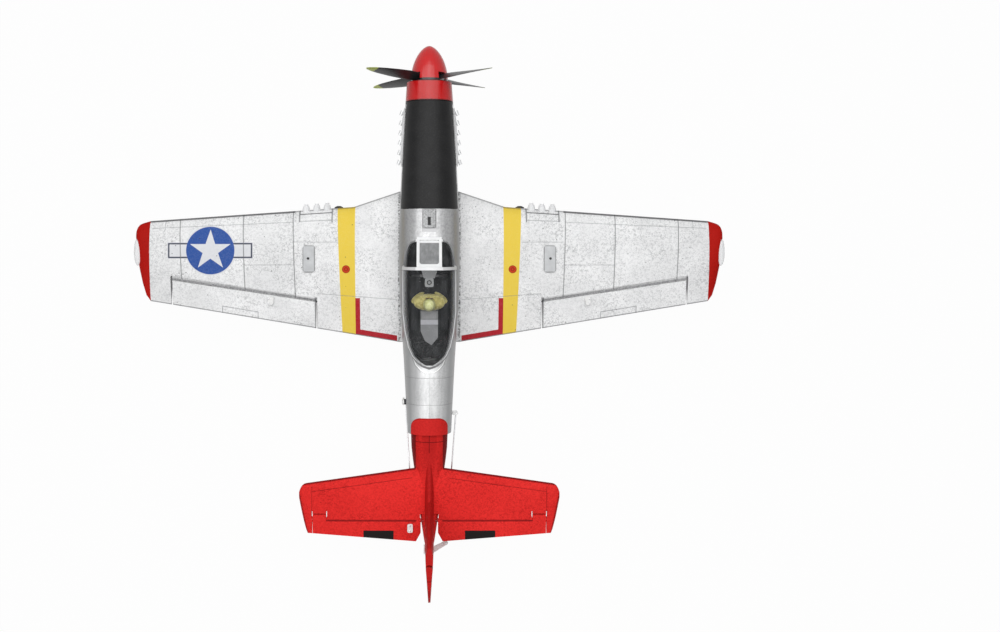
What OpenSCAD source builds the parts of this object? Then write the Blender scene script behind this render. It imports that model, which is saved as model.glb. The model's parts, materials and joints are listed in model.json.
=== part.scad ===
/* [Overall] */
// Distance between the two wing-tip lamps
span = 560; // [500:1:620]
// Height of the wing's chord line below the thrust line at the root
wing_drop = 33; // [31:0.5:36]
// Upward slope of each wing panel, in degrees
dihedral = 5; // [2:0.5:7]

/* [Nose and propeller] */
// Length of the spinner
spinner_len = 34; // [26:1:44]
// Radius of the spinner's rear edge
spinner_r = 17.5; // [16.5:0.5:19]
// Wall of the spinner and its back plate
spinner_wall = 1.2; // [0.8:0.1:2]
// Radius of the propeller
prop_r = 78; // [68:1:86]
// Widest chord of a propeller blade
blade_chord = 13; // [10:0.5:16]
// Radius of the propeller's hub
prop_hub_r = 6; // [5:0.5:8]
// Radius of the motor's turning can
motor_r = 11; // [9:0.5:13]
// Length of the motor's turning can
motor_len = 14; // [10:0.5:18]
// Radius of the motor's shaft
shaft_r = 1.5; // [1:0.25:2.5]
// Length of the coloured ring behind the spinner
cowl_len = 18; // [12:1:24]

/* [Fuselage] */
// Width of the nose behind the spinner
nose_w = 42; // [40:0.5:46]
// Greatest width of the fuselage
body_w = 57; // [54:0.5:60]
// Width where the front section ends
boom_w = 41; // [39:0.5:44]
// Width at the rudder post
post_w = 9; // [8:0.5:12]
// Height of the spine above the thrust line
deck_h = 29; // [26:0.5:32]
// Depth of the belly below the thrust line
belly_d = 39; // [37:0.5:41]
// Wall of the foam shells
foam_wall = 3; // [2.4:0.1:4]
// Station at which the front section ends, behind the spinner
join_sta = 327; // [320:1:334]
// Length of the battery hatch
hatch_len = 100; // [85:1:108]
// Thickness of the battery hatch
hatch_wall = 2; // [1.4:0.1:2.8]
// Height of the hatch's lower edge above the thrust line
hatch_z = 7; // [5:0.5:11]
// Gap around panels that lift or turn
gap = 0.4; // [0.3:0.05:0.6]

/* [Canopy] */
// Height of the bubble canopy above the thrust line
canopy_h = 45; // [42:0.5:50]
// Greatest width of the bubble canopy
canopy_w = 47; // [44:0.5:49]
// Thickness of the clear mouldings
glass_t = 0.9; // [0.6:0.1:1.4]

/* [Wing] */
// Station of the leading edge at the root
wing_le = 101; // [96:1:106]
// Chord at the root
root_chord = 146; // [138:1:154]
// Chord at the inner edge of the wing-tip cap
tip_chord = 76; // [68:1:84]
// Greatest thickness of the wing at the root
root_t = 20; // [18:0.5:22]
// Greatest thickness of the wing at the tip
tip_t = 9; // [8:0.5:11]
// Sweep of the outer leading edge, from kink to tip
tip_sweep = 14; // [8:1:20]
// Chord of the aileron
aileron_chord = 26; // [22:0.5:30]
// Distance from the centreline to the aileron's inner end
aileron_in = 109; // [104:1:116]
// Distance from the centreline to the aileron's outer end
aileron_out = 244; // [236:1:250]
// Radius of the wing's joining tube
spar_r = 3; // [2:0.25:4]

/* [Tail] */
// Span of the tailplane
tail_span = 241; // [225:1:260]
// Station of the tailplane's leading edge at the centreline
tail_le = 357; // [353:1:361]
// Station of the elevator's hinge
elevator_hinge = 408; // [405:1:411]
// Chord of the elevator at its inner end
elevator_chord = 19; // [16:0.5:22]
// Thickness of the tailplane at its root
tail_t = 8; // [7:0.5:9]
// Height of the tailplane above the thrust line
tail_z = 11; // [9:0.5:12]
// Station of the rudder's hinge
rudder_hinge = 432; // [430:1:436]
// Chord of the rudder
rudder_chord = 37.5; // [30:0.5:42]
// Height of the fin's tip above the thrust line
fin_h = 76; // [68:1:84]
// Thickness of the fin at its foot
fin_t = 8.4; // [7.5:0.1:9]
// Thickness of the fin at its tip
fin_tip_t = 6.2; // [5:0.1:7]

/* [Controls] */
// Radius of a servo arm and of the horn it drives
horn_r = 12; // [10:0.5:13]
// Radius of a pushrod's wire
rod_r = 0.6; // [0.4:0.1:0.8]
// Radial clearance of a pin that turns in a hole
pin_fit = 0.08; // [0.05:0.01:0.1]
// Length of a servo's case
servo_len = 20; // [18:0.5:23]
// Width of a servo's case
servo_w = 8.5; // [7.5:0.5:10]

/* [Undercarriage] */
// Distance from the centreline to each main wheel
track_half = 93; // [88:1:98]
// Station of the main axle
axle_sta = 131; // [126:1:136]
// Depth of the main axle below the thrust line
axle_d = 88; // [84:1:94]
// Radius of a main tyre
wheel_r = 18; // [16:0.5:20]
// Width of a main tyre
wheel_w = 10; // [8:0.5:12]
// Radius of the main axles
axle_r = 1.2; // [1:0.1:1.6]
// Station of the tail wheel's axle
tail_axle_sta = 384; // [380:1:388]
// Depth of the tail wheel's axle below the thrust line
tail_axle_d = 45; // [42:1:48]
// Radius of the tail wheel
tail_wheel_r = 7; // [6:0.5:8]

/* [Hidden] */
$fn = 48;

// Stations run aft from the spinner's rear face; the thrust line is z = 0.
hatch_sta = cowl_len + 1.5;
hatch_end = hatch_sta + hatch_len;
shield_sta = 147.6;
hoop_sta = 174;
canopy_end = 263;
post_sta = rudder_hinge - 2;
boom_h = 22;
post_h = 13;

// Loft stations of the front section: station, half width, top, bottom, widest height
FRONT = [
    [1, nose_w / 2, spinner_r + 2, spinner_r + 4, 0],
    [hatch_sta, nose_w / 2 + 1.4, spinner_r + 4, spinner_r + 8, -1],
    [hatch_end, body_w / 2 - 0.8, deck_h - 0.5, belly_d - 1, -3],
    [185, body_w / 2, deck_h, belly_d, -4],
    [canopy_end, body_w / 2 - 4.6, deck_h - 0.5, belly_d - 6, -3],
    [join_sta + 6, boom_w / 2 - 0.2, boom_h, boom_h, 0]];
// Loft stations of the tail section, which starts as a spigot inside the front one
TAIL = [
    [join_sta - 21, boom_w / 2 - foam_wall, boom_h - foam_wall + 1, boom_h - foam_wall, 0],
    [join_sta + 15, boom_w / 2 - foam_wall - 0.8, boom_h - foam_wall - 0.5, boom_h - 5, 0],
    [tail_le + 5, 14, 17.5, 14, 1],
    [elevator_hinge - 20, 11, 15.5, 10, 2],
    [elevator_hinge, 8, 14.2, 7.5, 3],
    [post_sta, post_w / 2, post_h, 4, 4]];

// ---- curves and lofts ----
function row_at(t, s, i = 0) = i >= len(t) - 2 || s <= t[i + 1][0] ? i : row_at(t, s, i + 1);
function slope(t, i, c) =
    let (a = max(i - 1, 0), b = min(i + 1, len(t) - 1))
    (t[b][c] - t[a][c]) / (t[b][0] - t[a][0]);
// Value of column c of table t at station s, on a smooth curve through its rows
function smooth(t, s, c) =
    let (i = row_at(t, s), h = t[i + 1][0] - t[i][0], u = (s - t[i][0]) / h)
    t[i][c] * (1 + 2 * u) * (1 - u) * (1 - u) + slope(t, i, c) * h * u * (1 - u) * (1 - u)
    + t[i + 1][c] * u * u * (3 - 2 * u) + slope(t, i + 1, c) * h * u * u * (u - 1);
// Superellipse quadrant: angle a from 90 at the top to -90 at the bottom
function oval(a, e) = [pow(abs(cos(a)), e), sign(a) * pow(abs(sin(a)), e)];
// Point of a body section, inset by a wall
function skin(t, s, a, inset = 0) =
    let (
        mid = smooth(t, s, 4),
        o = oval(a, 0.86),
        w = smooth(t, s, 1) - inset,
        h = (a > 0 ? smooth(t, s, 2) - mid : smooth(t, s, 3) + mid) - inset
    ) [w * o[0], -s, mid + h * o[1]];
// Height of the upper skin at distance x from the centreline
function skin_z(t, s, x) =
    let (mid = smooth(t, s, 4), u = min(1, abs(x) / smooth(t, s, 1)))
    mid + (smooth(t, s, 2) - mid) * pow(1 - pow(u, 2 / 0.86), 0.43);
// Depth of the lower skin at distance x from the centreline
function skin_low(t, s, x) =
    let (mid = smooth(t, s, 4), u = min(1, abs(x) / smooth(t, s, 1)))
    mid - (smooth(t, s, 3) + mid) * pow(1 - pow(u, 2 / 0.86), 0.43);
function spread(a, b, n) = [for (i = [0:n]) a + (b - a) * i / n];
function flat(lists) = [for (l = lists) each l];
function mean(p) = [for (k = [0:2]) [for (q = p) q[k]] * [for (q = p) 1 / len(p)]];

// Solid through closed rings with equal numbers of points, turning clockwise seen from aft
module loft(rings) {
    n = len(rings[0]);
    m = len(rings);
    last = (m - 1) * n;
    points = concat(flat(rings), [mean(rings[0]), mean(rings[m - 1])]);
    sides = [for (j = [0:m - 2], i = [0:n - 1])
        let (a = j * n + i, b = j * n + (i + 1) % n)
        each [[a, b, b + n], [a, b + n, a + n]]];
    caps = [for (i = [0:n - 1]) each [
        [(i + 1) % n, i, m * n], [last + i, last + (i + 1) % n, m * n + 1]]];
    polyhedron(points, concat(sides, caps), convexity = 6);
}

// Half tube between an outer and an inner sheet of points, both given ring by ring
module sheet_shell(outer, inner) {
    n = len(outer[0]);
    m = len(outer);
    k = n * m;
    sides = [for (j = [0:m - 2], i = [0:n - 2])
        let (a = j * n + i, b = a + 1)
        each [[a, b, b + n], [a, b + n, a + n],
            [k + b, k + a, k + b + n], [k + a, k + a + n, k + b + n]]];
    edges = [for (j = [0:m - 2]) let (a = j * n, b = a + n - 1) each [
        [a, a + n, k + a], [k + a, a + n, k + a + n],
        [b + n, b, k + b], [k + b, k + b + n, b + n]]];
    ends = [for (i = [0:n - 2]) let (a = i, b = (m - 1) * n + i) each [
        [a + 1, a, k + a], [a + 1, k + a, k + a + 1],
        [b, b + 1, k + b], [k + b, b + 1, k + b + 1]]];
    polyhedron(concat(flat(outer), flat(inner)), concat(sides, edges, ends), convexity = 8);
}

// Bar of oblong section swept along a path; its width is level, or along a given direction
module bar(path, w, h, across = undef) {
    n = len(path);
    loft([for (i = [0:n - 1])
        let (
            d = path[min(i + 1, n - 1)] - path[max(i - 1, 0)],
            level = is_undef(across) ? [d[1], -d[0], 0] : across,
            a = level / norm(level) * w / 2,
            b = cross(a / norm(a), d / norm(d)) * h / 2
        ) [path[i] + a + b, path[i] - a + b, path[i] - a - b, path[i] + a - b]]);
}

// ---- placing and joining helpers ----
// Everything is drawn about the thrust line and then stood on its three wheels
wheelbase = tail_axle_sta - axle_sta;
wheel_rise = axle_d - tail_axle_d;
stand_angle = atan(wheel_rise / wheelbase)
    + asin((wheel_r - tail_wheel_r) / norm([wheelbase, wheel_rise]));
stand_z = wheel_r + axle_sta * sin(stand_angle) + axle_d * cos(stand_angle);
rudder_te = rudder_hinge + rudder_chord;
rudder_foot = -3;
// Rudder's trailing edge: height, distance forward of its rearmost point
RUDDER_EDGE = [[rudder_foot, 11], [0, 5], [5, 1.5], [12, 0], [30, 0], [fin_h - 24, 1],
    [fin_h - 14, 5], [fin_h - 6, 12], [fin_h, 20]];
spinner_curve = [for (i = [0:12]) let (a = 90 * i / 12)
    [-spinner_len * cos(a), spinner_r * pow(sin(a), 1.2)]];
front_y = max([for (p = spinner_curve) -p[0] * cos(stand_angle) + p[1] * sin(stand_angle)]);
rear_y = -max([for (q = RUDDER_EDGE)
    (rudder_te - q[1]) * cos(stand_angle) + q[0] * sin(stand_angle)]);
stand_y = -(front_y + rear_y) / 2;
module stance() {
    translate([0, stand_y, stand_z]) rotate([stand_angle, 0, 0]) children();
}
module left_hand() {
    mirror([1, 0, 0]) children();
}
module both_sides() {
    children();
    left_hand() children();
}
// Cylinder or cone from point p to point q
module rod(p, q, r1, r2 = undef) {
    d = q - p;
    translate(p) rotate([0, acos(d[2] / norm(d)), atan2(d[1], d[0])])
        cylinder(h = norm(d), r1 = r1, r2 = is_undef(r2) ? r1 : r2);
}
// Round wire bent in one plane through a list of points, mitred at its bends
module wire(path, r) {
    n = len(path);
    normal = cross(path[1] - path[0], path[2] - path[1]);
    side = normal / norm(normal);
    loft([for (i = [0:n - 1])
        let (
            d = path[min(i + 1, n - 1)] - path[min(i, n - 2)],
            e = path[max(i, 1)] - path[max(i - 1, 0)],
            m = d / norm(d) + e / norm(e),
            mitre = m / norm(m),
            v = cross(side, mitre) / (mitre * d / norm(d))
        ) [for (k = [0:9]) path[i] + r * (side * cos(36 * k) + v * sin(36 * k))]]);
}
// Plate with rounded corners in the ground plane of its own axes, from z = 0 upwards
module plate(x, y, t, r = 1) {
    linear_extrude(t) hull() for (sx = [-1, 1], sy = [-1, 1])
        translate([sx * (x / 2 - r), sy * (y / 2 - r)]) circle(r, $fn = 20);
}

// ---- fuselage ----
RIB_ANGLES = spread(90, -90, 18);
front_stations = concat(spread(hatch_sta - 0.5, hatch_end, 5), spread(140, 260, 6),
    spread(276, join_sta + 3, 3));
module front_shell(from, to, wall) {
    s = [for (v = front_stations) if (v > from + 1 && v < to - 1) v];
    list = concat([from], s, [to]);
    sheet_shell([for (v = list) [for (a = RIB_ANGLES) skin(FRONT, v, a)]],
        [for (v = list) [for (a = RIB_ANGLES) skin(FRONT, v, a, wall)]]);
}
// Everything inside the front skin, grown by a clearance, to seat what stands on it
module front_solid(from, to, grow) {
    loft([for (v = concat([from], [for (v = front_stations) if (v > from && v < to) v], [to]))
        let (half = [for (a = RIB_ANGLES) skin(FRONT, v, a, -grow)])
        concat(half, [for (i = [len(half) - 2:-1:1]) [-half[i][0], half[i][1], half[i][2]]])]);
}
seat_gap = 0.1;
// Outline of the wing root, grown by a clearance, through the fuselage
module wing_root_prism(grow) {
    rotate([90, 0, 90]) linear_extrude(2 * root_half + 4, center = true)
        polygon([for (p = foil_ring(0, wing_le - grow, root_chord + 2 * grow,
            root_t + 2 * grow, -wing_drop)) [p[1], p[2]]]);
}
canopy_rows = [[hoop_sta, canopy_w / 2], [215, canopy_w / 2], [232, canopy_w / 2 - 2],
    [246, canopy_w / 2 - 5.2], [254, canopy_w / 2 - 9.3], [259, canopy_w / 2 - 14.2],
    [canopy_end - 1, 4.5], [canopy_end, 0.8]];
function canopy_x(s) = smooth([for (r = canopy_rows) [r[0], r[1]]], s, 1);
function shield_x(s) = canopy_w / 2 * pow(max(0, min(1, (s - shield_sta + 8) / 22)), 0.4);
// Plan outline of the cockpit opening, inset from the canopy's edge
module cockpit_plan(inset) {
    side = concat([for (s = spread(shield_sta + 3, hoop_sta, 5)) [shield_x(s) - inset, -s]],
        [for (s = [190, 205, 218, 230, 240, 248, 254, 258]) [max(1, canopy_x(s) - inset), -s]]);
    polygon(concat(side, [for (i = [len(side) - 1:-1:0]) [-side[i][0], side[i][1]]]));
}
cockpit_floor = 1;
module fuselage_cuts() {
    // battery hatch
    translate([-50, -hatch_end, hatch_z]) cube([100, hatch_len, 60]);
    // latch recess behind the hatch
    translate([-latch_w / 2, -latch_end, latch_floor]) cube([latch_w, latch_end - hatch_end + 1, 20]);
    // cockpit
    translate([0, 0, cockpit_floor]) linear_extrude(60) cockpit_plan(2);
    wing_root_prism(0.1);
    translate([-50, -te_root - 0.5, -80]) cube([100, root_chord - 13.5, 80 - wing_drop]);
    // outlets for the servo arms of the rudder and the elevator
    translate([10, -rudder_servo_sta - horn_r, rod_z - 2.2]) cube([20, 2 * horn_r, 4.4]);
    translate([-30, -elevator_servo_sta, elevator_servo_z]) rotate([0, 90, 0])
        cylinder(h = 15, r = outlet_r);
}
module fuselage_right() {
    color("silver") difference() {
        front_shell(cowl_len + 1.2, join_sta, foam_wall);
        fuselage_cuts();
    }
}
module fuselage_left() {
    color("silver") difference() {
        left_hand() front_shell(cowl_len + 1.2, join_sta, foam_wall);
        fuselage_cuts();
    }
}
// Lift-off lid over the battery bay
module battery_hatch() {
    color("dimgray") intersection() {
        both_sides() front_shell(hatch_sta + gap - 1, hatch_end - gap, hatch_wall);
        translate([-50, -hatch_end + gap, hatch_z + gap]) cube([100, hatch_len - 2 * gap, 60]);
    }
}
latch_w = 13;
latch_end = hatch_end + 21;
latch_floor = deck_h - 1.8;
latch_travel = 3;
latch_len = latch_end - hatch_end - latch_travel - 2 * gap;
// Sprung slide behind the hatch, with a slot for a fingernail
module hatch_latch() {
    color("silver") translate([0, -hatch_end - gap - latch_len / 2, latch_floor + 0.1]) difference() {
        plate(latch_w - 2 * gap, latch_len, 1.9, 1);
        translate([0, 0.5, 0.9]) plate(2, 8, 3, 0.9);
    }
}
// Coloured ring between the spinner and the foam nose
module cowl_ring() {
    s = [1, cowl_len * 0.4, cowl_len * 0.75, cowl_len + 1];
    color("red") both_sides() sheet_shell([for (v = s) [for (a = RIB_ANGLES) skin(FRONT, v, a)]],
        [for (v = s) [for (a = RIB_ANGLES) skin(FRONT, v, a, 1.5)]]);
}
// Six ejector stubs on a fairing on each side of the nose
exhaust_sta = 25;
exhaust_pitch = 9.2;
exhaust_z = 3;
module exhaust_stacks() {
    color("gainsboro") both_sides() {
        s = spread(exhaust_sta, exhaust_sta + 6 * exhaust_pitch - 1, 5);
        loft([for (v = s) let (x = skin(FRONT, v, 3)[0] + 0.25, g = v == s[0] || v == s[5] ? 0.6 : 1.6)
            [[x, -v, exhaust_z + 3], [x + g, -v, exhaust_z + 1.8], [x + g, -v, exhaust_z - 1.8],
                [x, -v, exhaust_z - 3]]]);
        for (i = [0:5]) {
            v = exhaust_sta + (i + 0.5) * exhaust_pitch;
            x = skin(FRONT, v, 3)[0] + 1.95;
            rod([x, -v + 2.2, exhaust_z], [x + 1.9, -v - 2, exhaust_z - 0.4], 1.7, 1.4);
        }
    }
}

// ---- canopy and cockpit ----
// Arch of the canopy at station s: a runs from 0 at the right sill to 180 at the left
canopy_top = [[hoop_sta, canopy_h - 1.5], [190, canopy_h], [215, canopy_h - 1.5],
    [240, canopy_h - 7], [canopy_end, deck_h - 0.3]];
function arch(s, a, inset) =
    let (
        x = canopy_x(s) - inset,
        sill = skin_z(FRONT, s, canopy_x(s)) + 0.2,
        top = max(smooth([for (r = canopy_top) [r[0], r[1]]], s, 1), sill + 0.5) - inset
    ) [x * sign(cos(a)) * pow(abs(cos(a)), 0.8), -s, sill + (top - sill) * pow(sin(a), 0.85)];
shield_half = 10.1;
// Windshield surface: u from 0 at the foot to 1 at the hoop, a as in arch()
function shield(u, a, inset) =
    let (
        s = shield_sta + u * (hoop_sta - shield_sta),
        hoop = arch(hoop_sta, a, inset),
        x = a == 90 ? 0 : hoop[0],
        flat_x = max(-shield_half, min(shield_half, x)),
        foot_x = abs(x) <= shield_half ? x : sign(x) * (shield_half
            + (abs(x) - shield_half) * pow(u, 0.28)),
        foot_s = shield_sta + u * (hoop_sta - shield_sta),
        low = skin_z(FRONT, foot_s, foot_x) + 0.3 - inset * 0.3
    ) [foot_x, -foot_s, low + max(0, hoop[2] - skin_z(FRONT, hoop_sta, hoop[0]) - 0.3) * u];
ARCH_ANGLES = spread(0, 180, 16);
BUBBLE_STATIONS = concat(spread(hoop_sta + 1.2, 214, 4), spread(224, 256, 4),
    [canopy_end - 3.5, canopy_end - 1, canopy_end - 0.3]);
SHIELD_STEPS = [0.04, 0.15, 0.35, 0.6, 0.8, 0.96];
module canopy_glass() {
    color([0.75, 0.8, 0.82, 0.4]) difference() {
        union() {
            sheet_shell([for (v = BUBBLE_STATIONS) [for (a = ARCH_ANGLES) arch(v, 180 - a, 0)]],
                [for (v = BUBBLE_STATIONS) [for (a = ARCH_ANGLES)
                    arch(v, 180 - a, min(glass_t, canopy_x(v) / 2)) - [0, 0, a == 0 || a == 180 ? 2 : 0]]]);
            sheet_shell([for (u = SHIELD_STEPS) [for (a = ARCH_ANGLES) shield(u, 180 - a, 0)]],
                [for (u = SHIELD_STEPS) [for (a = ARCH_ANGLES) shield(u, 180 - a, 0) - [0, 0, glass_t]]]);
        }
        front_solid(140, 274, seat_gap);
    }
}
// Everything under the windshield panes and under the front of the bubble
module under_glass() {
    loft([for (u = SHIELD_STEPS) [for (a = ARCH_ANGLES) shield(u, 180 - a, -seat_gap)]]);
    loft([for (v = [BUBBLE_STATIONS[0] - 0.1, BUBBLE_STATIONS[1]])
        [for (a = ARCH_ANGLES) arch(v, 180 - a, -seat_gap)]]);
}
frame_w = 2.6;
frame_h = 1.6;
EDGE_ANGLE = acos(pow(shield_half * 2 / canopy_w, 1.25));
// Flat front pane's posts, the hoop behind it and the curved feet of the side panes
module windshield_frame() {
    lift = [0, 0, frame_h / 2];
    u = [0, 0.2, 0.4, 0.6, 0.8, 0.94];
    color("white") difference() {
        union() {
            bar([for (a = ARCH_ANGLES) arch(hoop_sta - 0.3, a, -frame_h / 2)], 2.8, frame_h, [0, 1, 0]);
            both_sides() {
                bar([for (v = u) shield(v, EDGE_ANGLE, 0) + lift], frame_w, frame_h, [1, 0, 0]);
                bar([for (v = u) shield(v, 0, 0) + lift * 0.9 + [0.4, 0, 0]], frame_w * 0.7, frame_h);
            }
            bar([for (x = [-shield_half - 1, 0, shield_half + 1])
                [x, -shield_sta + 1, skin_z(FRONT, shield_sta, x) + 1]], frame_w, frame_h);
        }
        under_glass();
        front_solid(140, 185, seat_gap);
    }
}
rail_w = 1.6;
rail_out = rail_w / 2 + 0.2;
// Rail along the foot of the bubble, round its tail
module canopy_frame() {
    s = concat(spread(hoop_sta + 1.4, 230, 4), [240, 248, 254, 258, 261, canopy_end - 0.6]);
    side = [for (v = s) [canopy_x(v) + rail_out, -v - (canopy_x(v) < 12 ? rail_out : 0),
        skin_z(FRONT, v, canopy_x(v) + rail_out) + 0.8]];
    color("gainsboro") difference() {
        bar(concat([for (p = side) [-p[0], p[1], p[2]]],
            [[0, -canopy_end - 1.8, skin_z(FRONT, canopy_end + 1.8, 0) + 0.8]],
            [for (i = [len(side) - 1:-1:0]) side[i]]), rail_w, 2.2);
        front_solid(170, 274, seat_gap);
    }
}
tray_wall = 1.2;
// Dark tub that fills the cockpit opening
module cockpit_tray() {
    color("dimgray") difference() {
        translate([0, 0, cockpit_floor]) linear_extrude(15.5) cockpit_plan(2.2);
        translate([0, 0, cockpit_floor + tray_wall]) linear_extrude(30) cockpit_plan(2.2 + tray_wall);
    }
}
tray_top = cockpit_floor + tray_wall;
panel_sta = hoop_sta + 7;
// Instrument panel with its glare shield and the sight on top
module instrument_panel() {
    color("darkgray") {
        translate([0, -panel_sta, tray_top]) rotate([90, 0, 0]) linear_extrude(2, center = true)
            difference() {
                polygon([[-17, 0], [17, 0], [16, 13], [10, 18], [-10, 18], [-16, 13]]);
                for (x = [-9, 0, 9]) translate([x, 10]) circle(2.6);
            }
        translate([0, -panel_sta + 3, tray_top + 18]) linear_extrude(1.6)
            polygon([[-8, 4.5], [8, 4.5], [5, -5], [-5, -5]]);
        translate([0, -panel_sta - 2, tray_top + 16.4]) cube([4, 4, 3.2], center = true);
        difference() {
            translate([0, -panel_sta - 6, tray_top + 17]) plate(8, 8, 3, 1.5);
            translate([0, -panel_sta - 6, tray_top + 18.4]) cylinder(h = 5, r = 1.8);
        }
    }
}
// Level elliptical ring, turning clockwise seen from above
function oval_ring(c, rx, ry, n = 20) =
    [for (i = [0:n - 1]) let (a = -360 * i / n) [c[0] + rx * cos(a), c[1] + ry * sin(a), c[2]]];
pilot_sta = 203;
// Half-length figure with a plain head in a flying helmet
module pilot() {
    z = tray_top + 0.1;
    y = -pilot_sta;
    color("olive") loft([oval_ring([0, y - 1, z], 11, 6.5), oval_ring([0, y - 1, z + 8], 12.5, 7),
        oval_ring([0, y, z + 15], 15.5, 8.5), oval_ring([0, y, z + 19], 15, 8),
        oval_ring([0, y, z + 21.5], 10, 6.5), oval_ring([0, y, z + 23], 5, 5),
        oval_ring([0, y, z + 25.5], 3.4, 3.6)]);
    color("tan") translate([0, y + 0.8, z + 29.5]) sphere(4.9, $fn = 32);
    color("darkkhaki") translate([0, y - 0.4, z + 30.2]) sphere(5.5, $fn = 32);
}
// Fuselage tank and radio behind the seat
module radio_box() {
    color("gray") translate([0, 0, tray_top + 0.1]) {
        linear_extrude(13) polygon([[-8, -213], [8, -213], [8, -238], [2, -245], [-4, -241], [-8, -232]]);
        translate([0, -224, 13]) plate(12, 3, 1, 0.5);
    }
}

// ---- wing ----
root_half = body_w / 2 + 0.5;
kink_x = 73;
tip_x = span / 2 - 15.5;
cap_w = 13.5;
te_root = wing_le + root_chord;
te_tip = wing_le + 15 + tip_sweep + tip_chord;
foil_camber = 0.02;
edge_t = 0.5;
function wing_lead(x) =
    lookup(x, [[root_half, wing_le], [kink_x, wing_le + 15], [tip_x, wing_le + 15 + tip_sweep]]);
function wing_trail(x) = lookup(x, [[root_half, te_root], [tip_x, te_tip]]);
function wing_t(x) = lookup(x, [[root_half, root_t], [tip_x, tip_t]]);
function wing_z(x) = -wing_drop + max(0, x - root_half) * tan(dihedral);
// Half thickness of the section, as a share of its full thickness, at fraction u of its chord
function half_share(u) =
    5 * (0.2969 * sqrt(u) - 0.126 * u - 0.3516 * pow(u, 2) + 0.2843 * pow(u, 3) - 0.1015 * pow(u, 4));
function foil_half(chord, t, u) = t * half_share(u) + edge_t * u;
function foil_mid(chord, z, u) = z + 4 * foil_camber * chord * u * (1 - u);
FOIL_STEPS = [for (i = [0:12]) (1 - cos(180 * i / 12)) / 2];
// Section at distance x from the centreline, clockwise seen from the tip; cut shortens it aft
function foil_ring(x, le, chord, t, z, cut = 1, camber = 1) =
    let (u = [for (f = FOIL_STEPS) f * cut], mid = [for (f = u) z + camber * (foil_mid(chord, 0, f))])
    concat([for (i = [12:-1:0]) [x, -le - chord * u[i], mid[i] + foil_half(chord, t, u[i])]],
        [for (i = [1:12]) [x, -le - chord * u[i], mid[i] - foil_half(chord, t, u[i])]]);
function wing_ring(x) =
    foil_ring(x, wing_lead(x), wing_trail(x) - wing_lead(x), wing_t(x), wing_z(x));
// Aileron hinge line: point on it, and the radius of the aileron's round nose there
function hinge_sta(x) = wing_trail(x) - aileron_chord;
function hinge_u(x) = (hinge_sta(x) - wing_lead(x)) / (wing_trail(x) - wing_lead(x));
function hinge_z_at(x) = foil_mid(wing_trail(x) - wing_lead(x), wing_z(x), hinge_u(x));
function hinge_point(x) =
    let (k = (x - aileron_in) / (aileron_out - aileron_in))
    [x, -hinge_sta(x), hinge_z_at(aileron_in) * (1 - k) + hinge_z_at(aileron_out) * k];
function nose_at(x) =
    foil_half(wing_trail(x) - wing_lead(x), wing_t(x), hinge_u(x)) - 0.15;
nose_in = nose_at(aileron_in);
nose_out = nose_at(aileron_out);
end_gap = 1.2;
hinge_pin_r = 0.9;
nose_gap = 0.7;
module aileron_space() {
    a = hinge_point(aileron_in - end_gap);
    b = hinge_point(aileron_out + end_gap);
    rod(a, b, nose_in + nose_gap, nose_out + nose_gap);
    translate([0, 0, -60]) linear_extrude(80)
        polygon([[a[0], a[1]], [b[0], b[1]], [b[0], -te_root - 40], [a[0], -te_root - 40]]);
    rod(hinge_point(aileron_in - 6), hinge_point(aileron_out + 6), hinge_pin_r + pin_fit);
}
module wing_right() {
    color("whitesmoke") difference() {
        loft([for (x = [0, root_half, kink_x, (kink_x + tip_x) / 2, tip_x]) wing_ring(x)]);
        aileron_space();
        wing_fittings();
    }
}
module wing_left() {
    color("whitesmoke") left_hand() difference() {
        loft([for (x = [0, root_half, kink_x, (kink_x + tip_x) / 2, tip_x]) wing_ring(x)]);
        aileron_space();
        wing_fittings();
    }
}
spar_sta = wing_le + 0.32 * root_chord;
spar_half = 26;
module wing_spar() {
    color("black") translate([0, -spar_sta, -wing_drop + 1.5]) rotate([0, 90, 0]) difference() {
        cylinder(h = 2 * spar_half, r = spar_r, center = true);
        cylinder(h = 2 * spar_half + 1, r = spar_r - 1, center = true);
    }
}
aileron_servo_x = 150;
aileron_servo_gap = 34;
// Pockets for the joining tube, the aileron servo and the undercarriage block
module wing_fittings() {
    translate([-1, -spar_sta, -wing_drop + 1.5]) rotate([0, 90, 0])
        cylinder(h = spar_half + 2, r = spar_r + pin_fit);
    aileron_frame(aileron_servo_gap) servo_pocket();
    translate([gear_x, -gear_block_sta, wing_low(gear_x, gear_block_sta) + 2.4])
        cube([gear_block_w + 0.2, gear_block_l + 0.2, 6], center = true);
}
function wing_low(x, s) =
    let (le = wing_lead(x), c = wing_trail(x) - le, u = (s - le) / c)
    foil_mid(c, wing_z(x), u) - foil_half(c, wing_t(x), u);
function wing_high(x, s) =
    let (le = wing_lead(x), c = wing_trail(x) - le, u = (s - le) / c)
    foil_mid(c, wing_z(x), u) + foil_half(c, wing_t(x), u);
function cap_ring(u) =
    let (
        x = tip_x + cap_w * u,
        le = wing_lead(tip_x) + 4 * u + 6 * pow(u, 8),
        te = te_tip - 50 * pow(u, 1.8),
        t = tip_t * sqrt(1 - 0.97 * pow(u, 3))
    ) foil_ring(x, le, te - le, t, wing_z(tip_x) + cap_w * u * tan(dihedral));
lens_sta = 159;
lens_len = 27;
lens_r = 3.6;
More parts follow.
